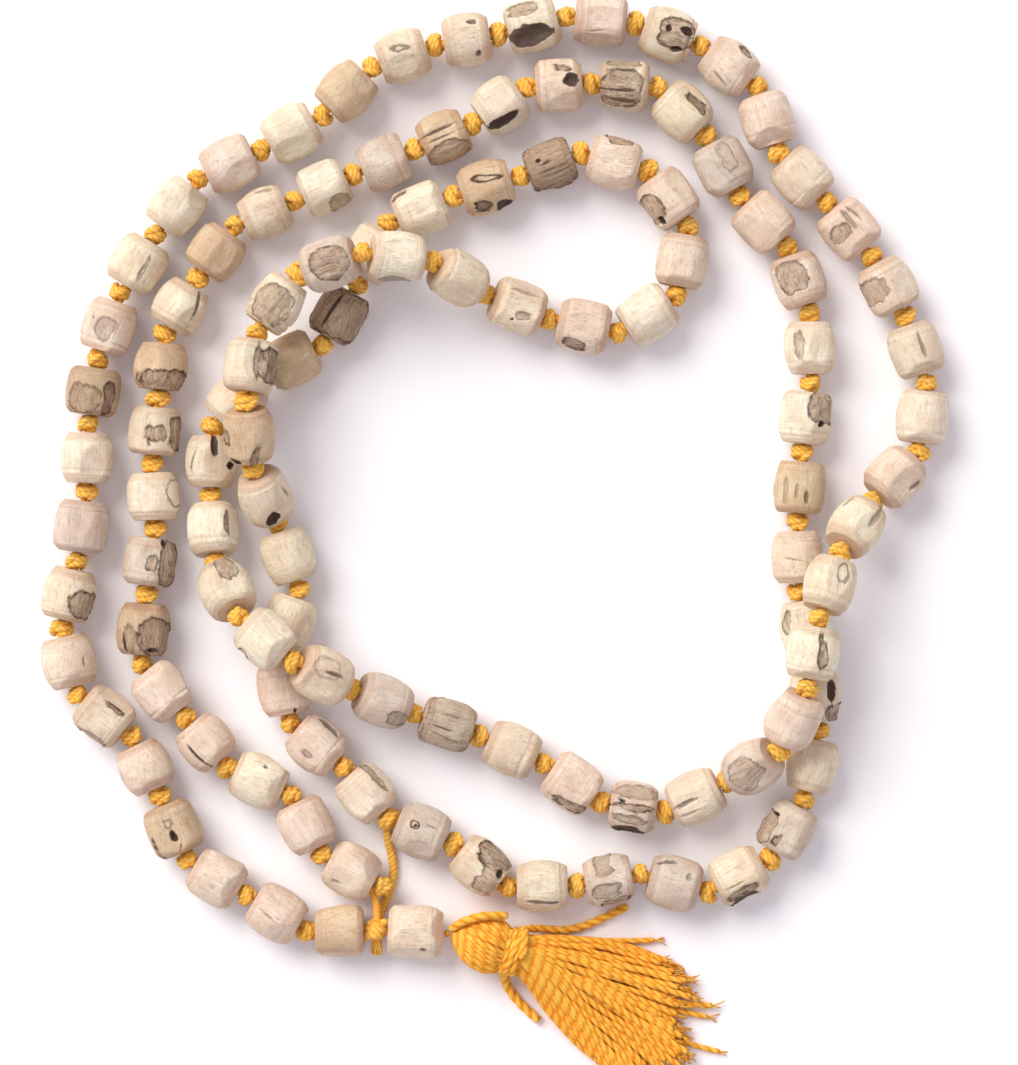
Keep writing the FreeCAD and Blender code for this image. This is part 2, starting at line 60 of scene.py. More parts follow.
# ---------------------------------------------------------------------------------------------
# The lay of the strand
# ---------------------------------------------------------------------------------------------
LAYOUT_SHIFT = np.array((0.792, 0.018, 0.0))   # from the layout of ROUTE to the row frame
ROUTE = (
    (-21.1, -65.4, 4.7), (-32.9, -65.7, 4.7), (-43.1, -59.6, 4.7), (-53.2, -53.6, 4.7),
    (-57.9, -42.8, 4.7), (-62.7, -32.7, 4.7), (-71.9, -25.5, 4.7), (-74.6, -14.1, 4.7),
    (-71.9, -2.7, 4.7), (-70.4, 9.0, 4.7), (-70.0, 20.6, 4.7), (-68.4, 31.6, 4.7),
    (-64.6, 42.8, 4.7), (-58.5, 52.8, 4.7), (-51.3, 62.2, 4.7), (-40.6, 67.2, 4.7),
    (-30.3, 73.0, 4.7), (-21.9, 81.2, 4.7), (-11.1, 85.0, 4.7), (-0.2, 86.7, 4.7),
    (11.2, 89.8, 4.7), (23.0, 88.6, 4.7), (34.1, 84.8, 4.7), (43.7, 77.9, 4.7),
    (47.2, 66.6, 4.7), (55.5, 58.2, 4.7), (63.2, 49.2, 4.7), (68.8, 38.8, 4.7),
    (72.5, 27.6, 4.7), (71.1, 15.8, 4.7), (63.1, 7.3, 6.3), (57.2, -1.2, 12.1),
    (53.5, -12.2, 14.5), (51.5, -23.9, 14.7), (47.0, -34.5, 11.7), (38.5, -40.2, 5.8),
    (28.0, -45.4, 4.7), (17.1, -43.8, 4.7), (7.4, -37.2, 4.7), (-3.4, -32.4, 4.7),
    (-14.6, -28.6, 5.7), (-25.1, -24.2, 9.1), (-34.7, -19.5, 14.5), (-43.9, -12.1, 13.7),
    (-48.3, -3.1, 7.3), (-49.1, 8.3, 4.7), (-48.8, 20.1, 4.7), (-40.7, 28.7, 4.7),
    (-30.2, 34.0, 4.7), (-24.5, 44.3, 4.7), (-18.9, 54.7, 4.7), (-8.0, 59.1, 4.7),
    (3.3, 62.7, 4.7), (13.7, 66.5, 4.7), (25.1, 63.6, 4.7), (32.0, 54.1, 4.7),
    (30.0, 42.4, 4.7), (20.0, 36.0, 4.7), (8.4, 38.4, 4.7), (-2.5, 42.6, 6.5),
    (-11.6, 47.7, 12.1), (-23.0, 49.1, 15.0), (-34.1, 45.5, 12.6), (-40.9, 35.8, 13.4),
    (-42.7, 24.2, 14.8), (-41.7, 12.9, 11.1), (-37.8, 3.7, 4.8), (-34.1, -7.5, 4.7),
    (-37.9, -18.6, 4.7), (-35.7, -30.2, 4.7), (-26.6, -37.8, 4.7), (-18.9, -46.5, 4.7),
    (-8.0, -50.9, 4.7), (1.3, -58.1, 4.7), (13.0, -57.9, 4.7), (23.9, -55.9, 4.7),
    (35.3, -58.9, 4.7), (45.9, -53.4, 4.7), (51.7, -43.2, 4.7), (54.3, -31.6, 4.7),
    (53.0, -19.7, 4.7), (50.7, -8.0, 4.7), (50.4, 3.9, 4.7), (51.2, 15.7, 4.7),
    (52.7, 27.5, 4.7), (52.7, 39.4, 4.7), (48.9, 50.6, 4.7), (40.7, 59.1, 4.7),
    (35.2, 69.5, 4.7), (26.8, 77.7, 4.7), (15.5, 78.5, 4.7), (4.5, 77.8, 4.7),
    (-4.5, 71.5, 4.7), (-14.6, 67.1, 4.7), (-24.8, 62.9, 4.7), (-34.9, 58.6, 4.7),
    (-45.0, 54.3, 4.7), (-51.5, 45.3, 4.7), (-57.2, 35.8, 4.7), (-58.2, 24.9, 4.7),
    (-59.2, 13.8, 4.7), (-58.7, 2.7, 4.7), (-60.2, -8.4, 4.7), (-61.0, -20.2, 4.7),
    (-53.6, -29.4, 4.7), (-46.4, -37.7, 4.7), (-35.5, -42.4, 4.7), (-30.4, -52.8, 4.7),
    (-20.0, -57.9, 4.7),
)
KNOTS = [np.array(point) + LAYOUT_SHIFT for point in ROUTE]
BEADS = len(KNOTS) - 1
SPINNING_EVERY = 3
STRETCHES = 4
GURU = 109             # the guru bead's number in the tables of marks and cuts
LARGE_KNOTS = (62, 64)  # the knots tied larger than the others
GURU_HEADING = math.radians(-3)
HEAD_HEADING = math.radians(-15)
GURU_AXIS = np.array((math.cos(GURU_HEADING), math.sin(GURU_HEADING), 0.0))
HEAD_AXIS = np.array((math.cos(HEAD_HEADING), math.sin(HEAD_HEADING), 0.0))
HEAD_SIDE = np.array((-math.sin(HEAD_HEADING), math.cos(HEAD_HEADING), 0.0))
UP = np.array((0.0, 0.0, 1.0))


class Mark(Enum):
    """What a branch, its bark or a tool left on a bead."""
    BARK = "B"       # sunken, striated remnant of bark with a dark rim
    SLIT = "S"       # narrow groove along the grain
    HOLLOW = "H"     # deep dark hollow
    RING = "R"       # dark outline round clean wood
    STAIN = "T"      # colour only, with soft edges


# Per bead: kind, place along the axis, place to the left of it, half length, half width, turn in
# degrees, darkness.  Places are those seen from above the bead's middle.
MARKS = {
    1: "T .8 3.7 3.6 .6 0 .35",
    2: "S 1.25 .65 1.9 .2 -10 .45; T .6 -1.8 1 1 0 .1",
    3: "T -.2 1.2 .4 .35 0 .3",
    4: "H -1.2 0 1.25 .75 0 1; R 1.2 0 .9 1 0 .4; T .2 -2.8 1.9 1.1 0 .35; B -2 3.8 2 .45 0 .5;"
       "S -3.2 -.5 1.2 .15 -35 .3",
    5: "T .6 4.1 1.8 .4 0 .4",
    6: "B -.6 4.1 2.8 .7 0 .35; B -.8 -2.6 2.2 .5 0 .5",
    7: "S -.2 -3 1 .2 -10 .4; T -1 3.8 1.8 .7 0 .2",
    8: "B -1.4 -2.9 2.5 2.4 0 .5",
    9: "T 1.2 .6 1.9 1.5 0 .25; T 1 -3.2 2 .3 0 .2",
    11: "B -1.4 .9 2.4 3 0 .3; B -.8 -3.3 2.8 .9 0 .8",
    12: "B -.6 .2 2.1 1.8 -20 .1; S .6 2.7 .35 .2 0 .6",
    13: "B 0 -1.8 1.9 .4 0 .12",
    14: "T 0 2.6 1 .6 0 .12",
    16: "T 2.6 -1.8 .4 .3 0 .25",
    17: "T 2.2 3 1.4 .45 0 .15; T 1.6 -.2 .35 .3 0 .4",
    18: "R -.2 1.1 1.6 .85 -5 .6",
    19: "H 1.2 2.8 .9 .5 -15 .6; T -.2 1.3 1.2 .4 10 .4; H 1.6 -3.2 .5 .6 0 .5",
    20: "H -.6 -1.9 3.9 1.9 0 .85; B -1 3 2.8 1.3 0 .3",
    21: "S -.6 -2.4 1.5 .12 12 .15",
    22: "B 1.4 .3 3.2 3.1 0 .55; H -.2 .9 .6 .9 0 .9; H 2.8 1.7 1.2 .9 0 .9; H 2 -2.6 1.2 .6 0 .9",
    23: "S -.2 -3 2.2 .2 -18 .45; B .8 3.6 1.2 .5 -30 .6",
    26: "S -1.4 2.2 1.5 .25 12 .4; S -1 .8 2 .4 0 .4; B -.4 -1.9 1.4 2.1 0 .25",
    27: "B -.4 -2.3 2.1 2.3 0 .2",
    28: "S -.6 .9 2.5 .35 2 .45",
    30: "S -.7 3.6 1.2 .25 -10 .5",
    31: "S -1.6 1.9 2.4 .65 -4 .35; S -4 2 1 .45 0 .35; S -2 -4 1.6 .3 0 .4",
    32: "R -1.6 1.6 1.9 1.15 12 .5",
    33: "B -.4 1.5 2.9 .95 12 .55",
    34: "T 1.4 .2 .7 .35 0 .2",
    35: "B -.2 .2 3 3 20 .2",
    36: "S 1.2 2 2 .3 0 .25; S 1.5 -.1 2 .42 0 .55",
    37: "H .2 3.8 2.9 .8 0 .95; B .2 -.3 3.2 .75 -4 .65; H 2 -1.4 .8 .3 -20 .8;"
        "B 0 -3 3.6 1.2 0 .2; B .6 2 3 .8 0 .2",
    38: "B -1.6 3.4 3 .9 5 .5",
    39: "T -1.4 -2.6 .9 .3 0 .3",
    40: "B 0 0 4.3 4.9 0 .22; S .6 .8 2.3 .2 0 .6; S 0 2.4 2 .2 -6 .4; S .4 -2 2.3 .2 4 .4",
    41: "B -2.6 2 1.8 1.6 0 .2",
    42: "S -.2 -1.2 1.7 .3 4 .65; R 1.4 -1.6 2.4 2 0 .2",
    43: "B 1.6 4 1.2 .6 0 .35",
    44: "B 2 -1.9 2.5 1.8 8 .35; T 3.2 .7 .9 .6 0 .5",
    45: "B .4 -2.9 2.6 .6 0 .45",
    46: "H 2.8 -.8 2.5 .7 8 .8; H -.6 -3.6 .6 .6 0 1; S 0 3.2 3 .2 -20 .5",
    48: "T 1.6 1 1.6 2.2 0 .3",
    49: "B 0 0 4.2 4.9 0 .5; S .2 1.4 3.5 .35 -6 .85; B -.2 -1.9 3.3 1.4 0 .7",
    51: "B -2.6 3.8 1.5 .4 10 .4",
    52: "R .4 1.1 2.6 .75 -14 .9; T .8 -1.4 3 1.4 0 .35; B -1.6 -3.4 1.7 .8 -8 .75; H 2 -3.9 1.3 .6 10 1",
    53: "B 0 0 4.2 4.9 0 .3; H -1.8 1.3 .5 .4 0 .9; S -.8 .3 1 .25 10 .7; S 0 -1.2 3.6 .2 3 .5;"
        "S 0 -2.2 3.6 .2 3 .4; B 0 -3.8 4 .7 0 .85",
    54: "B 0 3.6 2.4 1 0 .35",
    55: "T -.4 1.6 .5 .4 0 .5; B 0 -3.2 2.7 1.5 0 .4; H 2.4 -3.6 .8 .5 0 .95",
    58: "B 1 3.4 1.9 .9 -20 .5",
    59: "B -1 1.5 1.6 .75 22 .3; H .6 2.7 .4 .3 0 .9; S .2 -2.8 2.6 .4 6 .35",
    61: "S 0 4.2 2.6 .3 4 .5",
    62: "B -.8 .2 3.3 3.1 0 .42",
    63: "B .8 -.2 3.4 3.5 0 .28",
    64: "B -.2 3 3 1.6 0 .75; B -.4 1.3 3.1 .7 0 .35; T 3.2 0 .6 3 0 .2",
    65: "B 3 1 2.1 .8 -22 .45; B -.6 -4 1.6 .6 0 .75; H 3.8 -3.2 .6 .9 0 .95; T 0 -1 2 2 0 .2",
    66: "H 2.4 -.2 1.1 1.5 28 1; S -.4 4 1.4 .15 15 .4",
    68: "T -1.6 2 2 2 0 .15",
    69: "H 3.9 2 .5 .5 0 .9",
    70: "S -.2 4 2.3 .35 -8 .6; B -.4 -2.2 .9 .4 0 .12",
    71: "B -1 3.4 3.1 .7 3 .4",
    72: "R -1.4 1.1 .75 .75 0 .95; H -1.2 1 .2 .2 0 .9; S 1.4 1.8 1.4 .15 -5 .25",
    73: "B 1 2.6 3.2 1.8 -12 .6; B 2.4 -1 1.9 3 0 .25; H 3.3 1.6 .6 1 0 .85",
    74: "S -.2 -2.8 2.8 .38 -4 .6",
    75: "B -.6 2.8 1.5 2 0 .2; B -.6 -1.7 2.4 1.5 0 .25; B .6 -3.8 2.6 .6 0 .5",
    76: "S -2 3.6 1.7 .25 15 .6; R 2 2.2 .4 .7 0 .4",
    77: "B -.8 -2.8 3 .9 0 .4; H -.8 -4.1 2.8 .6 0 1; S -.8 -1 2.5 .15 0 .3",
    78: "B -1.2 3.5 3.2 1.3 0 .4; B -2.6 1.3 1.2 .8 0 .5; H 1.5 3.4 .35 .8 0 .9",
    80: "H 1 -2.8 2.8 .8 0 .9; B -3 -3 1.6 1.4 0 .8",
    81: "B -3 -1.1 2.2 .85 -4 .6; B 1.6 3.4 2 .7 -15 .3",
    82: "S -.4 1 2 .15 80 .25",
    83: "S -.6 2.7 2.7 .4 2 .15; S -1 .6 1.3 .35 0 .18; S -1.6 -1.2 1.2 .38 4 .55;"
        "T 0 -3 3 1.4 0 .15",
    84: "B 2 -2 2.8 2.4 0 .42; H -.8 -3.2 .45 .9 10 .85",
    85: "B .2 2.3 2.4 .9 0 .2",
    86: "B .8 1.2 2.8 2.8 0 .35; T 1 -3.6 1 .6 0 .3",
    87: "T 0 4.4 2 .4 0 .4",
    88: "R 1 -1.2 2.8 1.4 -4 .2; T .4 1 2 1.2 0 .12",
    89: "B -.8 -2.7 2 .95 0 .85",
    90: "B .6 .8 3.6 3.4 0 .45; S .6 3.2 2.8 .3 -4 .7; S .8 1.4 3.4 .35 2 .75;"
        "S .4 -2.7 3 .3 6 .6; B .4 -3.6 3 .9 0 .3",
    91: "H -2 -.4 1.4 1.4 0 .9; B -1 -2.6 1.6 .6 -10 .6",
    92: "H 1 3 3.7 .95 -6 1",
    93: "B .2 3 3.8 1.9 0 .3; S .6 -1.3 3.4 .33 0 .65; S .4 .3 3.4 .25 0 .25",
    95: "B -1.6 3.5 2 .9 0 .2",
    96: "S -1.2 -3.6 1.6 .28 -10 .35; T 3.1 -.2 .5 .6 0 .35",
    98: "S -1.2 3.1 3.3 .35 18 .6; T 1.2 .6 .9 2.4 28 .2",
    99: "B 2.6 .2 2.1 4.4 0 .6; T -2 0 2.2 4.4 0 .25",
    100: "B .2 3.9 2.9 1.1 0 .55; B .4 .5 1.4 2 0 .45; S 2 -.6 .8 .3 25 .5",
    101: "R -.4 4 2.4 1.2 0 .5",
    102: "B 0 3.4 4 1.5 0 .5; B .2 .6 1.6 1.2 0 .4; H -3.4 2.6 .7 .6 0 .8; T -2.2 -.6 1.6 1.6 0 .3",
    103: "B 1.5 1.9 3.3 2.9 -10 .5; H 3.4 2.2 .5 1.6 0 .8; B 1.6 -2 2.4 1.2 0 .22;"
         "S 2.6 -3.2 1.6 .25 8 .9",
    105: "S .8 -2.6 3.7 .28 3 .85",
    106: "H .3 3.1 .45 .3 0 .5",
    108: "S -1.4 -2.8 1 .35 10 .3",
    109: "B 1.6 -2.8 .5 .4 0 .35; T -2 -3 1.6 .8 0 .15",
}
# Saw flats per bead: angle round the axis from the top towards the left, tilt towards the
# bead's far end (both degrees) and distance of the flat from the bead's middle.
CUTS = {
    1: "70 0 4.1", 2: "35 -20 4.5; -50 0 4.3", 3: "0 -45 4.7; -30 12 4.4", 5: "0 -50 4.9",
    6: "0 0 4.35; -65 0 4.1", 7: "-10 -48 4.8", 8: "20 0 4.4", 9: "0 8 4.3", 12: "10 -15 4.2",
    14: "0 0 4.4; -40 30 4.7", 17: "-20 20 4.5", 20: "-30 0 4.35", 21: "-70 0 4.0; 0 0 4.4",
    23: "20 50 4.85", 24: "-10 45 4.5", 25: "-15 45 4.75; 0 0 4.4", 26: "0 0 4.3; 0 48 4.9",
    27: "-40 0 4.3; 30 10 4.4", 28: "0 50 4.85", 29: "0 50 4.95; 0 0 4.4", 33: "-20 8 4.2; 0 52 4.9",
    35: "30 -20 4.3", 36: "0 0 4.4; -40 0 4.4", 42: "20 10 4.2", 43: "0 -48 4.8", 45: "0 0 4.3; -62 0 4.1",
    49: "-60 0 4.2", 51: "0 0 4.3; 0 45 4.9", 53: "-68 0 4.2; 35 0 4.3", 56: "0 0 4.35; 0 50 5.0",
    58: "0 0 4.35", 59: "0 0 4.2; 0 48 4.8; -65 0 4.1", 61: "-15 0 4.25; 65 0 4.2",
    62: "10 0 4.3; -70 0 4.1", 63: "20 0 4.3", 67: "-10 0 4.35; 45 0 4.4", 70: "-15 0 4.2; 0 48 4.9",
    71: "-20 0 4.1; -10 46 4.8; 60 0 4.2", 73: "0 0 4.3", 74: "0 0 4.3; -60 0 4.2",
    77: "10 0 4.35; -50 0 4.3", 81: "10 0 4.3", 85: "0 -46 4.8; -20 0 4.35", 86: "0 10 4.2",
    90: "0 0 4.25; -60 0 4.2", 92: "-10 0 4.3; 60 0 4.2", 95: "-15 0 4.3; 50 0 4.4",
    98: "-20 0 4.3; 50 12 4.1", 100: "-15 0 4.3", 101: "-10 0 4.3", 102: "0 0 4.3",
    103: "20 10 4.3; 0 -45 4.8", 104: "-10 0 4.3; 0 48 4.8; 0 -44 4.8", 105: "20 45 4.8; 0 0 4.35",
    106: "0 44 4.7; -10 0 4.4", 107: "0 0 4.4; 20 50 4.9", 108: "50 -40 4.6; 45 38 4.5; -20 0 4.4",
    109: "35 -42 4.8; -10 0 4.4; -60 0 4.3; 20 48 5.1",
}


class Wood(Enum):
    """Natural shades of the bead wood, as display red, green and blue."""
    BRIGHT = (247, 239, 218)
    CREAM = (240, 228, 205)
    BLUSH = (241, 225, 207)
    TAN = (224, 203, 172)
    GREY = (226, 214, 199)
    BROWN = (200, 178, 150)


SHADES = {
    Wood.BRIGHT: (10, 14, 16, 29, 33, 43, 45, 50, 51, 57, 61, 71, 81, 84, 85, 92, 95, 98, 101, 106),
    Wood.BLUSH: (2, 3, 5, 7, 12, 15, 21, 23, 24, 26, 27, 30, 34, 38, 54, 55, 56, 58, 69, 70, 86, 87,
                 91, 104, 105, 107, 108, GURU),
    Wood.TAN: (1, 4, 17, 48, 52, 65, 83, 93, 97, 99),
    Wood.GREY: (9, 35, 37, 40, 41, 62, 72, 75, 76, 78, 88, 94, 102),
    Wood.BROWN: (11, 49, 53, 103),
}


# ---------------------------------------------------------------------------------------------
# Small helpers
# ---------------------------------------------------------------------------------------------
def linear(display: Sequence[float]) -> tuple[float, float, float, float]:
    """Turn a display colour into a scene colour.

    Args:
        display: Red, green and blue from 0 to 255.

    Returns:
        Linear red, green, blue and an alpha of one.
    """
    shares = [value / 255 for value in display]
    red, green, blue = (s / 12.92 if s <= 0.04045 else ((s + 0.055) / 1.055) ** 2.4 for s in shares)
    return red, green, blue, 1.0


def unit(vector: Array) -> Array:
    """The vector at length one."""
    return vector / np.linalg.norm(vector)


def ease(values: Array, low: float, high: float) -> Array:
    """Smooth step of the values from zero at low to one at high."""
    share = np.clip((values - low) / (high - low), 0, 1)
    return share * share * (3 - 2 * share)


def ripple(points: Array, draws: np.random.Generator, waves: Triple, count: int = 7) -> Array:
    """Smooth random waves in space, about minus one to one.

    Args:
        points: Places, one row each.
        draws: Source of the random waves.
        waves: Highest wave number along each axis, in radians per millimetre.
        count: Number of waves that are added up.

    Returns:
        One value for each place.
    """
    total = np.zeros(len(points))
    for _ in range(count):
        direction = draws.uniform(-1, 1, 3) * np.array(waves)
        total += np.sin(points @ direction + draws.uniform(0, 2 * math.pi))
    return total / math.sqrt(count * 1.4)


def deselect() -> None:
    """Leave edit mode and deselect everything."""
    if bpy.context.object and bpy.context.object.mode != "OBJECT":
        bpy.ops.object.mode_set(mode="OBJECT")
    bpy.ops.object.select_all(action="DESELECT")


def activate(thing: bpy.types.Object) -> None:
    """Select one object alone and make it the active one."""
    deselect()
    thing.select_set(True)
    bpy.context.view_layer.objects.active = thing


def select_edges(thing: bpy.types.Object, wanted: Callable[[Vector, Vector], bool]) -> None:
    """Select a mesh's edges in edit mode by where their ends are.

    Args:
        thing: The object in edit mode.
        wanted: Says from an edge's two ends whether it is wanted.
    """
    work = bmesh.from_edit_mesh(thing.data)
    for edge in work.edges:
        edge.select_set(False)
    for edge in work.edges:
        if wanted(edge.verts[0].co, edge.verts[1].co):
            edge.select_set(True)
    bmesh.update_edit_mesh(thing.data)


def put_values(mesh: bpy.types.Mesh, name: str, values: Array) -> None:
    """Keep one number, vector or colour for each of a mesh's points.

    Args:
        mesh: The mesh.
        name: The attribute's name.
        values: One row for each point: a number, three numbers or four for a colour.
    """
    width = 1 if values.ndim == 1 else values.shape[1]
    kind, key = {1: ("FLOAT", "value"), 3: ("FLOAT_VECTOR", "vector"), 4: ("FLOAT_COLOR", "color")}[width]
    layer = mesh.attributes.get(name) or mesh.attributes.new(name, kind, "POINT")
    layer.data.foreach_set(key, values.astype(np.float32).ravel())


def smooth_lines(lines: Sequence[Sequence[Sequence[float]]], step: float) -> list[Array]:
    """Lay smooth threads through given points and read them back evenly.

    Args:
        lines: For each thread its control points, in millimetres.
        step: Distance between the points that are returned.

    Returns:
        For each thread its points, in millimetres.
    """
    curve = bpy.data.curves.new("lay", "CURVE")
    curve.dimensions = "3D"
    for line in lines:
        spline = curve.splines.new("NURBS")
        spline.points.add(len(line) - 1)
        for point, place in zip(spline.points, line):
            point.co = (*place, 1.0)
        spline.order_u = 3
        spline.use_endpoint_u = True
        spline.resolution_u = 10
    holder = bpy.data.objects.new("lay", curve)
    read = bpy.data.meshes.new_from_object(holder)
    places = np.array([vertex.co for vertex in read.vertices], float)
    joined = {min(edge.vertices) for edge in read.edges if abs(edge.vertices[0] - edge.vertices[1]) == 1}
    runs, start = [], 0
    for index in range(len(places)):
        if index not in joined:
            runs.append(places[start:index + 1])
            start = index + 1
    bpy.data.objects.remove(holder)
    bpy.data.curves.remove(curve)
    bpy.data.meshes.remove(read)
    even = []
    for run in runs:
        gaps = np.linalg.norm(np.diff(run, axis=0), axis=1)
        along = np.concatenate(([0.0], np.cumsum(gaps)))
        count = max(4, int(round(along[-1] / step)) + 1)
        marks = np.linspace(0, along[-1], count)
        even.append(np.stack([np.interp(marks, along, run[:, k]) for k in range(3)], axis=1))
    return even


# ---------------------------------------------------------------------------------------------
# Finishes
# ---------------------------------------------------------------------------------------------
class Bench:
    """A material's nodes, with short ways to add and join them."""

    def __init__(self, name: str) -> None:
        """Start a material with its surface shader."""
        self.material = bpy.data.materials.new(name)
        self.material.use_nodes = True
        self.tree = self.material.node_tree
        self.surface = self.tree.nodes["Principled BSDF"]

    def put(self, socket: bpy.types.NodeSocket, value: Socket) -> None:
        """Join a socket to another, or set it."""
        if isinstance(value, bpy.types.NodeSocket):
            self.tree.links.new(value, socket)
        else:
            socket.default_value = value

    def node(self, kind: str, sockets: Optional[dict] = None, **settings: object) -> bpy.types.Node:
        """Add a node.

        Args:
            kind: The node's type without its ShaderNode prefix.
            sockets: Values or joins by socket name or number.
            settings: The node's own properties.

        Returns:
            The node.
        """
        made = self.tree.nodes.new("ShaderNode" + kind)
        for name, value in settings.items():
            setattr(made, name, value)
        for key, value in (sockets or {}).items():
            self.put(made.inputs[key], value)
        return made

    def sum(self, how: str, *terms: Socket, clamp: bool = False) -> bpy.types.NodeSocket:
        """Arithmetic on numbers."""
        made = self.node("Math", dict(enumerate(terms)), operation=how)
        made.use_clamp = clamp
        return made.outputs[0]

    def value(self, name: str) -> bpy.types.NodeSocket:
        """A number kept on the mesh."""
        return self.node("Attribute", attribute_name=name).outputs["Fac"]

    def vector(self, name: str) -> bpy.types.NodeSocket:
        """A vector kept on the mesh."""
        return self.node("Attribute", attribute_name=name).outputs["Vector"]

    def stretch(self, place: Socket, scale: Triple) -> bpy.types.NodeSocket:
        """A place stretched by a scale along each axis."""
        return self.node("VectorMath", {0: place, 1: scale}, operation="MULTIPLY").outputs[0]

    def noise(self, place: Socket, scale: float, detail: float = 3, rough: float = 0.5,
              warp: float = 0.0) -> bpy.types.NodeSocket:
        """Noise from about zero to one."""
        return self.node("TexNoise", {"Vector": place, "Scale": scale, "Detail": detail,
                                      "Roughness": rough, "Distortion": warp}).outputs[0]

    def step(self, value: Socket, low: float, high: float, start: float = 0.0,
             end: float = 1.0) -> bpy.types.NodeSocket:
        """Smooth step of a value between two edges."""
        return self.node("MapRange", {"Value": value, "From Min": low, "From Max": high,
                                      "To Min": start, "To Max": end},
                         interpolation_type="SMOOTHSTEP").outputs[0]

    def mix(self, share: Socket, first: Socket, second: Socket,
            how: str = "MIX") -> bpy.types.NodeSocket:
        """Mix two colours."""
        made = self.node("Mix", data_type="RGBA", blend_type=how)
        for socket, value in zip((made.inputs[0], made.inputs[6], made.inputs[7]),
                                 (share, first, second)):
            self.put(socket, value)
        return made.outputs[2]

    def bump(self, height: Socket, depth: float, under: Optional[bpy.types.NodeSocket] = None,
             strength: float = 1.0) -> bpy.types.NodeSocket:
        """Relief of a depth in millimetres."""
        sockets = {"Height": height, "Distance": depth * MM, "Strength": strength}
        if under is not None:
            sockets["Normal"] = under
        return self.node("Bump", sockets).outputs[0]


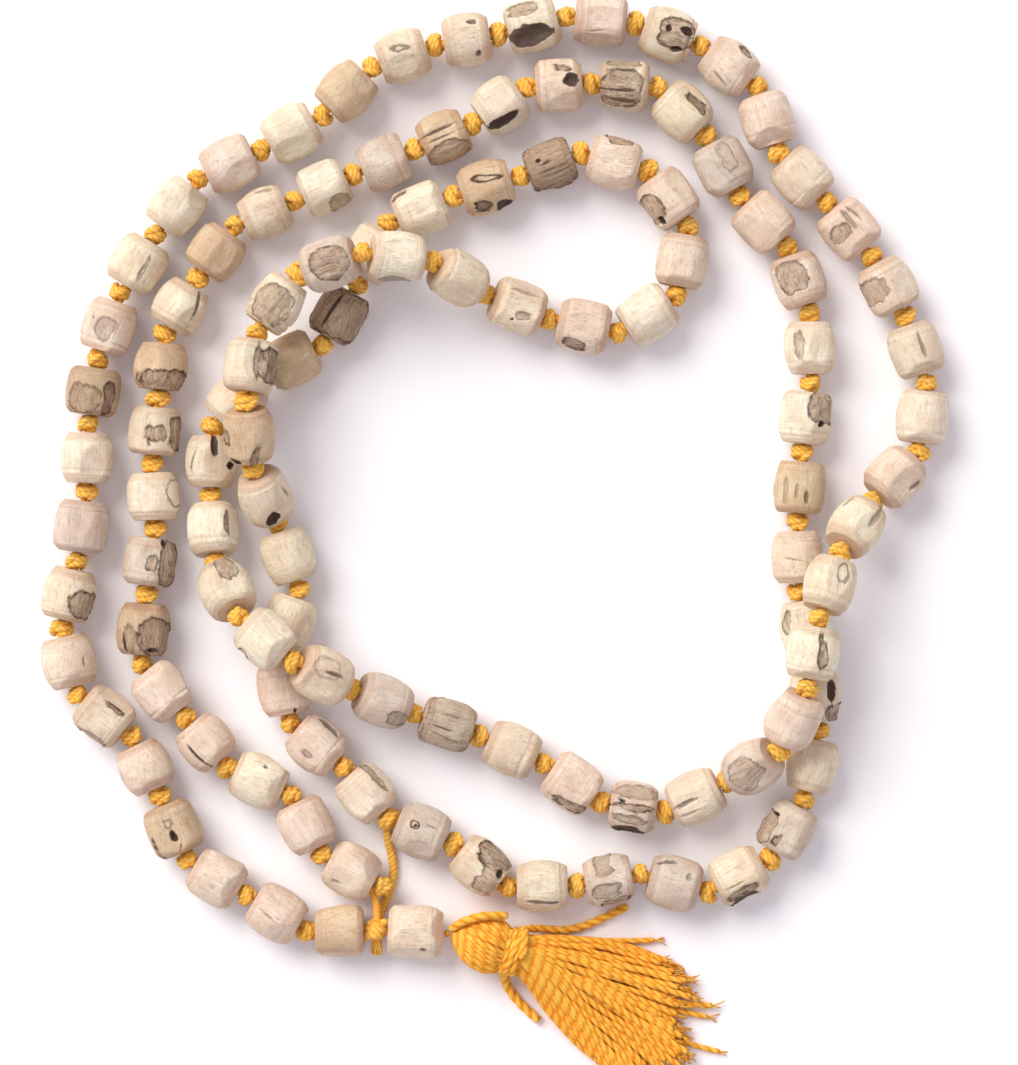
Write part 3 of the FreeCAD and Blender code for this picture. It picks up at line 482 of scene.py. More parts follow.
@dataclass(frozen=True)
class RawWood:
    """Unfinished turned wood with remnants of bark."""
    name: str
    roughness: float = 0.62
    bark_light: Triple = (206, 178, 152)
    bark_pale: Triple = (158, 128, 104)
    bark_dark: Triple = (124, 92, 72)
    rim: Triple = (84, 57, 45)
    pit: Triple = (56, 36, 30)
    stain: Triple = (158, 124, 92)
    soil_and_shade_share: float = 0.85           # strength of the dirt and painted shade on the chamfered ends and in the tool rings
    # strength of the painted shade along the flats' edges
    flat_edge_shade_share: float = 0.16
    soil_share: float = 0.50
    scratch_share: float = 0.30
    fibre_depth: float = 0.14          # relief, in millimetres
    fine_depth: float = 0.07
    ring_depth: float = 0.11
    pore_depth: float = 0.06
    dent_depth: float = 0.5
    bark_depth: float = 0.30
    cut_depth: float = 0.12

    def make(self) -> bpy.types.Material:
        """Build the material.

        Returns:
            The material.
        """
        b = Bench(self.name)
        grain = b.vector("grain")
        tint = b.node("Attribute", attribute_name="tint").outputs["Color"]
        fibre = b.noise(b.stretch(grain, (0.28, 1.7, 1.7)), 1.2, 6, 0.62, 0.25)
        fine = b.noise(b.stretch(grain, (0.55, 7.0, 7.0)), 1.3, 4, 0.6)
        cloud = b.noise(grain, 0.22, 3, 0.5)
        turned = b.noise(b.stretch(grain, (5.5, 0.25, 0.25)), 1.1, 3, 0.55)
        pores = b.step(b.noise(b.stretch(grain, (0.9, 10.0, 10.0)), 1.2, 2, 0.5), 0.66, 0.74)

        warm = b.mix(1.0, tint, (0.86, 0.72, 0.57, 1), "MULTIPLY")
        rosy = b.mix(1.0, tint, (0.84, 0.72, 0.66, 1), "MULTIPLY")
        colour = b.mix(b.step(fibre, 0.38, 0.68, 0.0, 0.66), tint, warm)
        colour = b.mix(b.step(cloud, 0.40, 0.66, 0.0, 0.80), colour, rosy)
        colour = b.mix(b.step(fine, 0.48, 0.70, 0.0, 0.42), colour, warm)
        colour = b.mix(b.step(turned, 0.50, 0.70, 0.0, 0.34), colour, warm)
        # Dirt and painted shade: the chamfered ends and the tool rings are darkened towards a darker tint.
        wear = b.value("wear")
        worn = b.mix(1.0, tint, (0.66, 0.49, 0.40, 1), "MULTIPLY")
        lines = b.sum("MULTIPLY", wear, b.step(turned, 0.32, 0.62, 0.45, 1.0))
        colour = b.mix(b.sum("MULTIPLY", lines, self.soil_and_shade_share), colour, worn)
        # Painted shade along the edges of the saw flats.
        colour = b.mix(b.sum("MULTIPLY", b.value("flat_edge_shade"), self.flat_edge_shade_share), colour, worn)
        colour = b.mix(b.sum("MULTIPLY", pores, 0.28), colour, linear((150, 120, 90)))

        soiled = b.step(b.noise(b.stretch(grain, (0.25, 0.5, 0.5)), 1.6, 5, 0.65), 0.54, 0.72)
        colour = b.mix(b.sum("MULTIPLY", soiled, self.soil_share), colour, worn)
        scratches = b.step(b.noise(b.stretch(grain, (0.16, 3.2, 3.2)), 1.9, 2, 0.5), 0.66, 0.72)
        colour = b.mix(b.sum("MULTIPLY", scratches, self.scratch_share), colour, linear(self.stain))
        ragged = b.noise(b.stretch(grain, (0.8, 1.5, 1.5)), 2.4, 4, 0.6)
        spread = b.sum("MULTIPLY", b.sum("SUBTRACT", ragged, 0.5), 0.42)
        stain = b.sum("MULTIPLY", b.value("stain"), b.step(ragged, 0.25, 0.6, 0.55, 1.0))
        colour = b.mix(stain, colour, linear(self.stain))

        tone = b.value("bark_tone")
        edge = b.sum("ADD", b.value("bark"), spread)
        inside = b.step(edge, -0.02, 0.14)
        rim = b.step(b.sum("ABSOLUTE", b.sum("SUBTRACT", edge, 0.16)), 0.0, 0.42, 1.0, 0.0)
        ridges = b.noise(b.stretch(grain, (0.35, 2.6, 2.6)), 1.5, 6, 0.68, 0.4)
        crumbs = b.noise(grain, 2.6, 5, 0.7)
        furrow = b.mix(b.step(tone, 0.25, 0.8), linear(self.bark_pale), linear(self.bark_dark))
        bark = b.mix(b.step(ridges, 0.38, 0.58), furrow, linear(self.bark_light))
        crumbled = b.sum("MULTIPLY", b.step(crumbs, 0.48, 0.66), b.step(tone, 0.2, 0.8, 0.25, 0.60))
        bark = b.mix(crumbled, bark, linear(self.rim))
        scraped = b.step(b.noise(b.stretch(grain, (0.7, 1.6, 1.6)), 1.5, 4, 0.6), 0.52, 0.62)
        bark = b.mix(b.sum("MULTIPLY", scraped, b.step(tone, 0.3, 1.0, 0.75, 0.30)), bark, warm)
        bark = b.mix(b.step(tone, 0.45, 1.0, 0.0, 0.42), bark, linear(self.rim))
        patch = b.step(b.noise(b.stretch(grain, (0.5, 0.8, 0.8)), 0.9, 3, 0.55), 0.36, 0.58, 0.45, 1.0)
        shown = b.sum("MULTIPLY", b.sum("MULTIPLY", inside, patch), b.step(tone, 0.0, 0.45, 0.40, 0.96))
        colour = b.mix(shown, colour, bark)
        outline = b.sum("MULTIPLY", rim, b.step(tone, 0.05, 0.6, 0.22, 0.88))
        broken = b.step(b.noise(grain, 0.75, 3, 0.6), 0.38, 0.60, 0.12, 1.0)
        outline = b.sum("MULTIPLY", outline, broken)
        colour = b.mix(outline, colour, linear(self.rim))

        cut = b.sum("ADD", b.value("cut"), b.sum("MULTIPLY", spread, 0.8))
        open_cut = b.step(cut, -0.06, 0.14)
        depth = b.value("cut_tone")
        # Slits, hollows and rings are filled with the dark colour of their wood and with painted shade, as
        # dark as each mark's darkness.
        pit = b.mix(b.step(ridges, 0.35, 0.65), linear(self.pit), linear(self.rim))
        colour = b.mix(b.sum("MULTIPLY", open_cut, b.step(depth, 0.0, 1.0, 0.18, 0.97)), colour, pit)

        b.put(b.surface.inputs["Base Color"], colour)
        rough = b.sum("ADD", b.step(fibre, 0.3, 0.7, self.roughness - 0.06, self.roughness + 0.08),
                      b.sum("MULTIPLY", inside, 0.16))
        b.put(b.surface.inputs["Roughness"], rough)
        b.surface.inputs["Specular IOR Level"].default_value = 0.32
        relief = b.bump(fibre, self.fibre_depth)
        relief = b.bump(fine, self.fine_depth, relief)
        relief = b.bump(turned, self.ring_depth, relief)
        pitted = b.sum("MULTIPLY", b.sum("ADD", pores, scratches), -1.0)
        relief = b.bump(pitted, self.pore_depth, relief)
        relief = b.bump(cloud, self.dent_depth, relief)
        rough_bark = b.sum("ADD", ridges, b.sum("MULTIPLY", crumbs, 0.6))
        relief = b.bump(b.sum("MULTIPLY", inside, rough_bark), self.bark_depth, relief)
        relief = b.bump(b.sum("MULTIPLY", open_cut, -1.0), self.cut_depth, relief)
        b.put(b.surface.inputs["Normal"], relief)
        return b.material


@dataclass(frozen=True)
class TwistedThread:
    """Dyed cotton thread laid up from plies."""
    name: str
    plies: int
    pitch: float                       # length of one turn of a ply
    # Painted light: the lightest colour is a painted highlight on the ply crests and the deepest is painted
    # shade in the grooves between the plies.
    crest_highlight: Triple = (255, 228, 140)
    middle: Triple = (255, 200, 82)
    deep: Triple = (250, 174, 62)
    ply_depth: float = 0.07            # relief, in millimetres
    hair_depth: float = 0.12
    sheen: float = 0.30

    def make(self) -> bpy.types.Material:
        """Build the material.

        Returns:
            The material.
        """
        b = Bench(self.name)
        place = b.node("SeparateXYZ", {0: b.vector("twine")})
        across, aside, along = place.outputs
        turns = b.sum("MULTIPLY", along, 2 * math.pi / self.pitch)
        angle = b.sum("SUBTRACT", b.sum("ARCTAN2", aside, across), turns)
        crest = b.sum("COSINE", b.sum("MULTIPLY", angle, float(self.plies)))
        crest = b.step(crest, -1.1, 0.5)
        dye = b.value("dye")
        riding = b.node("CombineXYZ", {0: b.sum("COSINE", angle), 1: b.sum("SINE", angle),
                                       2: b.sum("ADD", b.sum("MULTIPLY", along, 0.22),
                                                b.sum("MULTIPLY", dye, 31.0))}).outputs[0]
        hairs = b.noise(riding, 5.0, 5, 0.65)
        lint = b.noise(riding, 1.6, 3, 0.6)
        # Painted shade and highlight: the grooves between the plies take the deepest colour, the crests the
        # middle one and, where hairs lie on them, the lightest.
        colour = b.mix(crest, linear(self.deep), linear(self.middle))
        colour = b.mix(b.sum("MULTIPLY", crest, b.step(hairs, 0.42, 0.66)), colour, linear(self.crest_highlight))
        colour = b.mix(b.step(lint, 0.5, 0.75, 0.0, 0.35), colour, linear(self.deep))
        shade = b.step(dye, 0.0, 1.0, 0.0, 0.32)
        colour = b.mix(shade, colour, b.mix(1.0, colour, (0.93, 0.80, 0.58, 1), "MULTIPLY"))
        # Painted shade: threads and cores that lie under others are darkened towards a deeper orange.
        under_shade = b.value("under_shade")
        colour = b.mix(under_shade, colour, b.mix(1.0, colour, (0.95, 0.66, 0.38, 1), "MULTIPLY"))
        b.put(b.surface.inputs["Base Color"], colour)
        b.surface.inputs["Roughness"].default_value = 0.78
        b.surface.inputs["Specular IOR Level"].default_value = 0.2
        b.surface.inputs["Sheen Weight"].default_value = self.sheen
        b.surface.inputs["Sheen Roughness"].default_value = 0.45
        b.surface.inputs["Sheen Tint"].default_value = linear((255, 205, 110))
        relief = b.bump(crest, self.ply_depth)
        relief = b.bump(hairs, self.hair_depth, relief)
        b.put(b.surface.inputs["Normal"], relief)
        return b.material


@dataclass(frozen=True)
class HiddenThread:
    """The same dyed thread where it runs inside the wood, coloured by place alone."""
    name: str
    colour: Triple = (254, 196, 78)
    deep: Triple = (232, 146, 40)

    def make(self) -> bpy.types.Material:
        """Build the material.

        Returns:
            The material.
        """
        b = Bench(self.name)
        place = b.node("TexCoord").outputs["Object"]
        strands = b.noise(place, 2600.0, 4, 0.6)
        b.put(b.surface.inputs["Base Color"], b.mix(strands, linear(self.deep), linear(self.colour)))
        b.surface.inputs["Roughness"].default_value = 0.8
        b.put(b.surface.inputs["Normal"], b.bump(strands, 0.08))
        return b.material


@dataclass(frozen=True)
class PaleBoard:
    """Plain pale board that the object lies on."""
    name: str
    colour: Triple = (250, 248, 251)

    def make(self) -> bpy.types.Material:
        """Build the material.

        Returns:
            The material.
        """
        b = Bench(self.name)
        b.surface.inputs["Base Color"].default_value = linear(self.colour)
        b.surface.inputs["Roughness"].default_value = 0.9
        b.surface.inputs["Specular IOR Level"].default_value = 0.0
        return b.material


# ---------------------------------------------------------------------------------------------
# Camera, light and board
# ---------------------------------------------------------------------------------------------
@dataclass
class Studio:
    """The camera straight above the strand, one soft key light and a pale board."""
    middle: Triple = (2.32, 2.14, 5.0)
    height: float = 754.0
    lens: float = 150.0
    key_from: Triple = (-0.58, 0.62, 0.78)
    key_strength: float = 2.8
    key_spread: float = math.radians(40)
    fill: Triple = (0.955, 0.925, 1.0)
    fill_strength: float = 0.66
    board_side: float = 2400.0

    def place_camera(self) -> None:
        """Put the camera above the middle, with the tassel's side at the bottom."""
        data = bpy.data.cameras.new("camera")
        data.sensor_fit = "VERTICAL"
        data.sensor_height = data.sensor_width = 36.0
        data.lens = self.lens
        data.clip_end = 20.0
        camera = bpy.data.objects.new("camera", data)
        camera.location = Vector(self.middle) * MM + Vector((0, 0, self.height * MM))
        bpy.context.scene.collection.objects.link(camera)
        bpy.context.scene.camera = camera

    def light(self) -> None:
        """Hang the key light and set the fill that comes from all round."""
        sun = bpy.data.lights.new("key", "SUN")
        sun.energy = self.key_strength
        sun.angle = self.key_spread
        sun.color = (1.0, 0.975, 0.93)
        key = bpy.data.objects.new("key", sun)
        key.rotation_euler = Vector(self.key_from).to_track_quat("Z", "Y").to_euler()
        bpy.context.scene.collection.objects.link(key)
        world = bpy.data.worlds.new("studio")
        world.use_nodes = True
        background = world.node_tree.nodes["Background"]
        background.inputs[0].default_value = (*self.fill, 1.0)
        background.inputs[1].default_value = self.fill_strength
        bpy.context.scene.world = world
        bpy.context.scene.view_settings.view_transform = "Standard"

    def lay_board(self) -> None:
        """Lay the pale board under the object."""
        deselect()
        bpy.ops.mesh.primitive_plane_add(size=self.board_side * MM, location=(0, 0, 0))
        board = bpy.context.object
        board.name = "board"
        board.data.materials.append(PaleBoard("pale_board").make())


# ---------------------------------------------------------------------------------------------
# Thread work
# ---------------------------------------------------------------------------------------------
@dataclass
class Skein:
    """Gathers many twisted threads and writes them as one mesh."""
    plies: int
    pitch: float
    sides: int = 8
    lobe: float = 0.16                 # how deep the plies part, as a share of the radius
    points: list = field(default_factory=list)
    faces: list = field(default_factory=list)
    twine: list = field(default_factory=list)
    dye: list = field(default_factory=list)
    # how far each point lies under others, kept for the painted shade
    under_shade: list = field(default_factory=list)
    tips: list = field(default_factory=list)
    count: int = 0

    def run(self, path: Array, radius: float, dye: float, under_shade: Union[float, Array] = 0.0,
            tips: tuple[float, float] = (0.5, 0.5)) -> None:
        """Lay one thread along a path.

        Args:
            path: The thread's points.
            radius: Its radius.
            dye: Its share of the darker dye lot, 0 to 1.
            under_shade: How far it lies under others, 0 to 1, for all of it or for each point; the colour
                is darkened by it as painted shade.
            tips: Radius of the first and last ring as shares of the radius.
        """
        steps = np.gradient(path, axis=0)
        steps /= np.linalg.norm(steps, axis=1)[:, None] + 1e-12
        along = np.concatenate(([0.0], np.cumsum(np.linalg.norm(np.diff(path, axis=0), axis=1))))
        side = np.cross(steps[0], UP if abs(steps[0][2]) < 0.9 else np.array((1.0, 0, 0)))
        angles = np.arange(self.sides) * 2 * math.pi / self.sides
        start = self.count
        shares = np.ones(len(path))
        shares[0], shares[-1] = tips
        rings = []
        for place, step, length, share in zip(path, steps, along, shares):
            side = unit(side - step * (side @ step))
            other = np.cross(step, side)
            lobes = 1 - self.lobe * (0.5 - 0.5 * np.cos(self.plies * (
                angles - length * 2 * math.pi / self.pitch)))
            reach = radius * share * lobes
            rings.append(place + np.outer(reach * np.cos(angles), side)
                         + np.outer(reach * np.sin(angles), other))
            self.twine.append(np.stack((np.cos(angles), np.sin(angles),
                                        np.full(self.sides, length)), axis=1))
        self.points.append(np.concatenate(rings))
        self.tips.append((path[-1], steps[-1]))
        total = len(path) * self.sides
        self.dye.append(np.full(total, dye))
        self.under_shade.append(np.repeat(np.broadcast_to(under_shade, len(path)), self.sides))
        for ring in range(len(path) - 1):
            base = start + ring * self.sides
            for side_number in range(self.sides):
                following = (side_number + 1) % self.sides
                self.faces.append((base + side_number, base + following,
                                   base + self.sides + following, base + self.sides + side_number))
        last = start + (len(path) - 1) * self.sides
        self.faces.append(tuple(start + k for k in reversed(range(self.sides))))
        self.faces.append(tuple(last + k for k in range(self.sides)))
        self.count += total

    def put_in(self, points: Array, faces: Iterable[tuple], dye: float, under_shade: float) -> None:
        """Add a plain core under the threads.

        Args:
            points: The core's points.
            faces: Its faces, numbered from its own first point.
            dye: Its share of the darker dye lot.
            under_shade: How far it lies under the threads, which darkens it as painted shade.
        """
        self.points.append(points)
        self.faces += [tuple(self.count + k for k in face) for face in faces]
        self.twine.append(points)
        self.dye.append(np.full(len(points), dye))
        self.under_shade.append(np.full(len(points), under_shade))
        self.count += len(points)

    def cut(self, name: str, finish: bpy.types.Material) -> bpy.types.Object:
        """Write the mesh.

        Args:
            name: The piece's name.
            finish: Its material.

        Returns:
            The piece, in metres.
        """
        mesh = bpy.data.meshes.new(name)
        mesh.from_pydata((np.concatenate(self.points) * MM).tolist(), [], self.faces)
        put_values(mesh, "twine", np.concatenate(self.twine))
        put_values(mesh, "dye", np.concatenate(self.dye))
        put_values(mesh, "under_shade", np.concatenate(self.under_shade))
        mesh.materials.append(finish)
        mesh.shade_smooth()
        piece = bpy.data.objects.new(name, mesh)
        bpy.context.scene.collection.objects.link(piece)
        return piece


def ball(radii: Triple, middle: Array, axis: Array, rings: int = 10, sides: int = 14) -> tuple[Array, list]:
    """A smooth rounded core.

    Args:
        radii: Half length along the axis and the two half widths.
        middle: Its middle.
        axis: Direction of its length.
        rings: Number of rings from pole to pole.
        sides: Number of points in a ring.

    Returns:
        Its points and faces.
    """
    axis = unit(axis)
    side = unit(np.cross(UP, axis)) if abs(axis[2]) < 0.95 else np.array((1.0, 0.0, 0.0))
    other = np.cross(axis, side)
    points, faces = [middle - axis * radii[0]], []
    for ring in range(1, rings):
        turn = math.pi * ring / rings
        for k in range(sides):
            angle = 2 * math.pi * k / sides
            points.append(middle - axis * radii[0] * math.cos(turn)
                          + side * radii[1] * math.sin(turn) * math.cos(angle)
                          + other * radii[2] * math.sin(turn) * math.sin(angle))
    points.append(middle + axis * radii[0])
    for k in range(sides):
        n = (k + 1) % sides
        faces.append((0, 1 + n, 1 + k))
        for ring in range(rings - 2):
            low = 1 + ring * sides
            faces.append((low + k, low + n, low + sides + n, low + sides + k))
        top = 1 + (rings - 2) * sides
        faces.append((top + k, top + n, len(points) - 1))
    return np.array(points), faces


@dataclass
class StringingThread:
    """The thread that all beads hang on, from the joining knot round the strand and back."""
    diameter: float = 1.3
    length: float = 1250.0

    def lay(self, finish: bpy.types.Material) -> bpy.types.Object:
        """Lay the thread along its route.

        Args:
            finish: Its material.

        Returns:
            The thread.
        """
        curve = bpy.data.curves.new("stringing_thread", "CURVE")
        curve.dimensions = "3D"
        spline = curve.splines.new("NURBS")
        places = KNOTS + [KNOTS[0]]
        spline.points.add(len(places) - 1)
        for point, place in zip(spline.points, places):
            point.co = (*(place * MM), 1.0)
        spline.order_u = 3
        spline.use_endpoint_u = True
        spline.resolution_u = 6
        curve.bevel_depth = self.diameter / 2 * MM
        curve.bevel_resolution = 2
        curve.use_fill_caps = True
        curve.materials.append(finish)
        thread = bpy.data.objects.new("stringing_thread", curve)
        bpy.context.scene.collection.objects.link(thread)
        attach(thread, "strand")
        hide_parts(*(f"stringing_cord_{number}" for number in range(1, STRETCHES + 1)))
        return thread


@dataclass
class Knots:
    """The small ball knots between the beads."""
    thread_radius: float = 0.66
    wrap_radius: float = 1.22
    wraps: float = 2.1
    half_length: float = 0.86
    variants: int = 4
    step: float = 0.42
    core: Triple = (1.35, 1.3, 1.3)
    large: float = 1.22                # how much larger the large knots are tied

    def ties(self) -> list[list[tuple[Array, float]]]:
        """Tie each kind of knot once, along X about the origin.

        Returns:
            For each kind its threads, as path and radius.
        """
        draws = np.random.default_rng(41)
        lines, owners = [], []
        for number in range(self.variants):
            lean = draws.uniform(-0.25, 0.25)
            first = draws.uniform(0, 2 * math.pi)
            winding = [(-1.9, 0.0, 0.0), (-1.25, 0.25 * math.cos(first), 0.25 * math.sin(first))]
            stops = 13
            for k in range(stops):
                share = k / (stops - 1)
                angle = first + share * self.wraps * 2 * math.pi
                reach = self.wrap_radius * (1.12 + draws.uniform(-0.06, 0.06)) * (
                    0.86 + 0.2 * math.sin(math.pi * share))
                winding.append((-self.half_length + 2 * self.half_length * share
                                + lean * math.cos(angle), reach * math.cos(angle), reach * math.sin(angle)))
            winding += [(1.25, 0.2, -0.2), (1.9, 0.0, 0.0)]
            lines.append(winding)
            owners.append(number)
            for turn in (0.0, math.pi * draws.uniform(0.7, 1.2)):
                bar = []
                for k in range(6):
                    share = k / 5
                    angle = first + turn + 0.9 + share * 1.7
                    reach = self.wrap_radius * (0.75 + 0.62 * math.sin(math.pi * share))
                    bar.append(((share - 0.5) * 2.5, reach * math.cos(angle), reach * math.sin(angle)))
                lines.append(bar)
                owners.append(number)
        tied: list[list[tuple[Array, float]]] = [[] for _ in range(self.variants)]
        for owner, path in zip(owners, smooth_lines(lines, self.step)):
            tied[owner].append((path, self.thread_radius))
        return tied

    def tie(self, finish: bpy.types.Material) -> list[bpy.types.Object]:
        """Tie the knots of the whole strand, one piece for each stretch.

        Args:
            finish: Their material.

        Returns:
            The pieces.
        """
        tied = self.ties()
        draws = np.random.default_rng(53)
        skeins = [Skein(plies=3, pitch=2.6) for _ in range(STRETCHES)]
        for index in range(1, BEADS + 1):
            before, here = KNOTS[index - 1], KNOTS[index]
            after = KNOTS[index + 1] if index < BEADS else KNOTS[0]
            along = unit(unit(here - before) + unit(after - here))
            turn = draws.uniform(0, 2 * math.pi)
            side = unit(np.cross(UP, along))
            other = np.cross(along, side)
            basis = np.stack((along, side * math.cos(turn) + other * math.sin(turn),
                              other * math.cos(turn) - side * math.sin(turn)))
            swell = np.array((1.0, *(draws.uniform(0.93, 1.06, 2))))
            if index in LARGE_KNOTS:
                swell = swell * self.large
            skein = skeins[(index - 1) * STRETCHES // BEADS]
            dye = draws.uniform(0, 1)
            for path, radius in tied[draws.integers(self.variants)]:
                skein.run(here + (path * swell) @ basis, radius, dye)
            points, faces = ball(self.core, here, along, 8, 10)
            # The knot's core lies under its threads and takes painted shade.
            skein.put_in(points, faces, dye, 0.7)
        pieces = []
        for number, skein in enumerate(skeins, start=1):
            piece = skein.cut(f"ball_knots_{number}", finish)
            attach(piece, "strand")
            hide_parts(f"knots_{number}")
            pieces.append(piece)
        return pieces


@dataclass
class JoiningKnot:
    """The knot that gathers the strand's two ends, its frayed tuft and its loose end."""
    thread_radius: float = 0.75
    core: Triple = (1.7, 2.1, 1.75)
    hairs: int = 40                    # in the frayed tuft
    hair_radius: float = 0.24
    tail_radius: float = 0.78
    lead_radius: float = 0.62
    tail: tuple = ((-19.9, -64.0, 3.2), (-19.3, -62.0, 1.6), (-18.2, -59.6, 0.85), (-17.3, -56.2, 0.85),
                   (-17.6, -52.9, 0.9), (-18.4, -50.4, 2.0), (-18.3, -47.6, 3.4))

    def tie(self, finish: bpy.types.Material) -> bpy.types.Object:
        """Tie the knot with its tuft.

        Args:
            finish: Its material.

        Returns:
            The knot.
        """
        middle = KNOTS[0]
        draws = np.random.default_rng(67)
        lines = []
        for start, lean in ((0.3, 0.5), (2.5, -0.45), (4.3, 0.1)):
            line = []
            for k in range(12):
                share = k / 11
                angle = start + share * 2.3 * math.pi
                reach = 1.75 + 0.12 * math.sin(5 * share + start)
                line.append(tuple(middle + np.array((
                    reach * math.cos(angle) * 0.9 + lean * (share - 0.5) * 2,
                    (share - 0.5) * 2.5 * (1 if lean > 0 else -1) + 0.3 * math.cos(angle),
                    reach * math.sin(angle)))))
            lines.append(line)
        skein = Skein(plies=3, pitch=2.8)
        for path in smooth_lines(lines, 0.4):
            skein.run(path, self.thread_radius, draws.uniform(0, 0.7))
        hairs = []
        for _ in range(self.hairs):
            lean, lift = draws.uniform(-0.5, 0.5), draws.uniform(-0.35, 0.35)
            reach = draws.uniform(1.8, 3.0)
            foot = middle + np.array((draws.uniform(-0.6, 0.8), -1.5, draws.uniform(-1.2, 0.4)))
            hairs.append([tuple(foot), tuple(foot + np.array((lean * 0.4, -0.6 * reach, lift))),
                          tuple(foot + np.array((lean + draws.uniform(-0.3, 0.3), -reach,
                                                 lift - 0.8 * draws.uniform(0, 1))))])
        for path in smooth_lines(hairs, 0.45):
            skein.run(path, self.hair_radius, draws.uniform(0, 1), tips=(1.0, 0.4))
        points, faces = ball(self.core, middle, GURU_AXIS)
        # The core lies under the knot's threads and takes painted shade.
        skein.put_in(points, faces, 0.5, 0.7)
        knot = skein.cut("gathering_knot", finish)
        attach(knot, "strand")
        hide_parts("joining_knot")
        return knot

    def trail(self, finish: bpy.types.Material) -> bpy.types.Object:
        """Lay the loose end that runs from the knot to its neighbour.

        Args:
            finish: Its material.

        Returns:
            The loose end.
        """
        skein = Skein(plies=3, pitch=3.6, sides=12, lobe=0.12)
        skein.run(smooth_lines([self.tail], 0.35)[0], self.tail_radius, 0.1)
        end = skein.cut("loose_thread_end", finish)
        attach(end, "strand")
        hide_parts("thread_tail")
        return end

    def lead(self, finish: bpy.types.Material) -> bpy.types.Object:
        """Run the tassel's thread through the guru bead.

        Args:
            finish: Its material.

        Returns:
            The thread.
        """
        skein = Skein(plies=3, pitch=2.6)
        start = KNOTS[0] + GURU_AXIS * 1.8
        line = [start, start + GURU_AXIS * 4.5, start + GURU_AXIS * 9.6]
        skein.run(smooth_lines([line], 0.5)[0], self.lead_radius, 0.3)
        thread = skein.cut("guru_thread", finish)
        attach(thread, "strand")
        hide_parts("tassel_cord")
        return thread


# ---------------------------------------------------------------------------------------------
# Beads
# ---------------------------------------------------------------------------------------------
@dataclass
class BeadBlank:
    """The bead as it comes off the lathe, at radius one and half length one along X."""
    sides: int = 92
    rings: int = 40
    face_steps: tuple = (0.86, 0.62, 0.36, 0.22)

    def turn(self) -> bpy.types.Object:
        """Turn the blank: the barrel, its two faces and the bore.

        Returns:
            The blank.
        """
        deselect()
        bpy.ops.mesh.primitive_cylinder_add(vertices=self.sides, radius=1, depth=2,
                                            end_fill_type="NOTHING", rotation=(0, math.pi / 2, 0))
        blank = bpy.context.object
        blank.name = "bead_blank"
        bpy.ops.object.transform_apply(location=False, rotation=True, scale=False)
        bpy.ops.object.mode_set(mode="EDIT")
        bpy.ops.mesh.select_mode(type="EDGE")
        select_edges(blank, lambda a, b: abs(a.x - b.x) > 1)
        bpy.ops.mesh.subdivide(number_cuts=self.rings - 1)
        for end in (-1, 1):
            select_edges(blank, lambda a, b: min(end * a.x, end * b.x) > 0.999)
            reach = 1.0
            for step in self.face_steps:
                bpy.ops.mesh.extrude_edges_move()
                bpy.ops.transform.resize(value=(1, step / reach, step / reach),
                                         center_override=(end, 0, 0))
                reach = step
        bore = self.face_steps[-1] + 0.01
        select_edges(blank, lambda a, b: max(math.hypot(a.y, a.z), math.hypot(b.y, b.z)) < bore)
        bpy.ops.mesh.bridge_edge_loops()
        bpy.ops.mesh.select_all(action="SELECT")
        bpy.ops.mesh.normals_make_consistent(inside=False)
        bpy.ops.object.mode_set(mode="OBJECT")
        bpy.ops.object.shade_smooth_by_angle(angle=math.radians(60))
        return blank


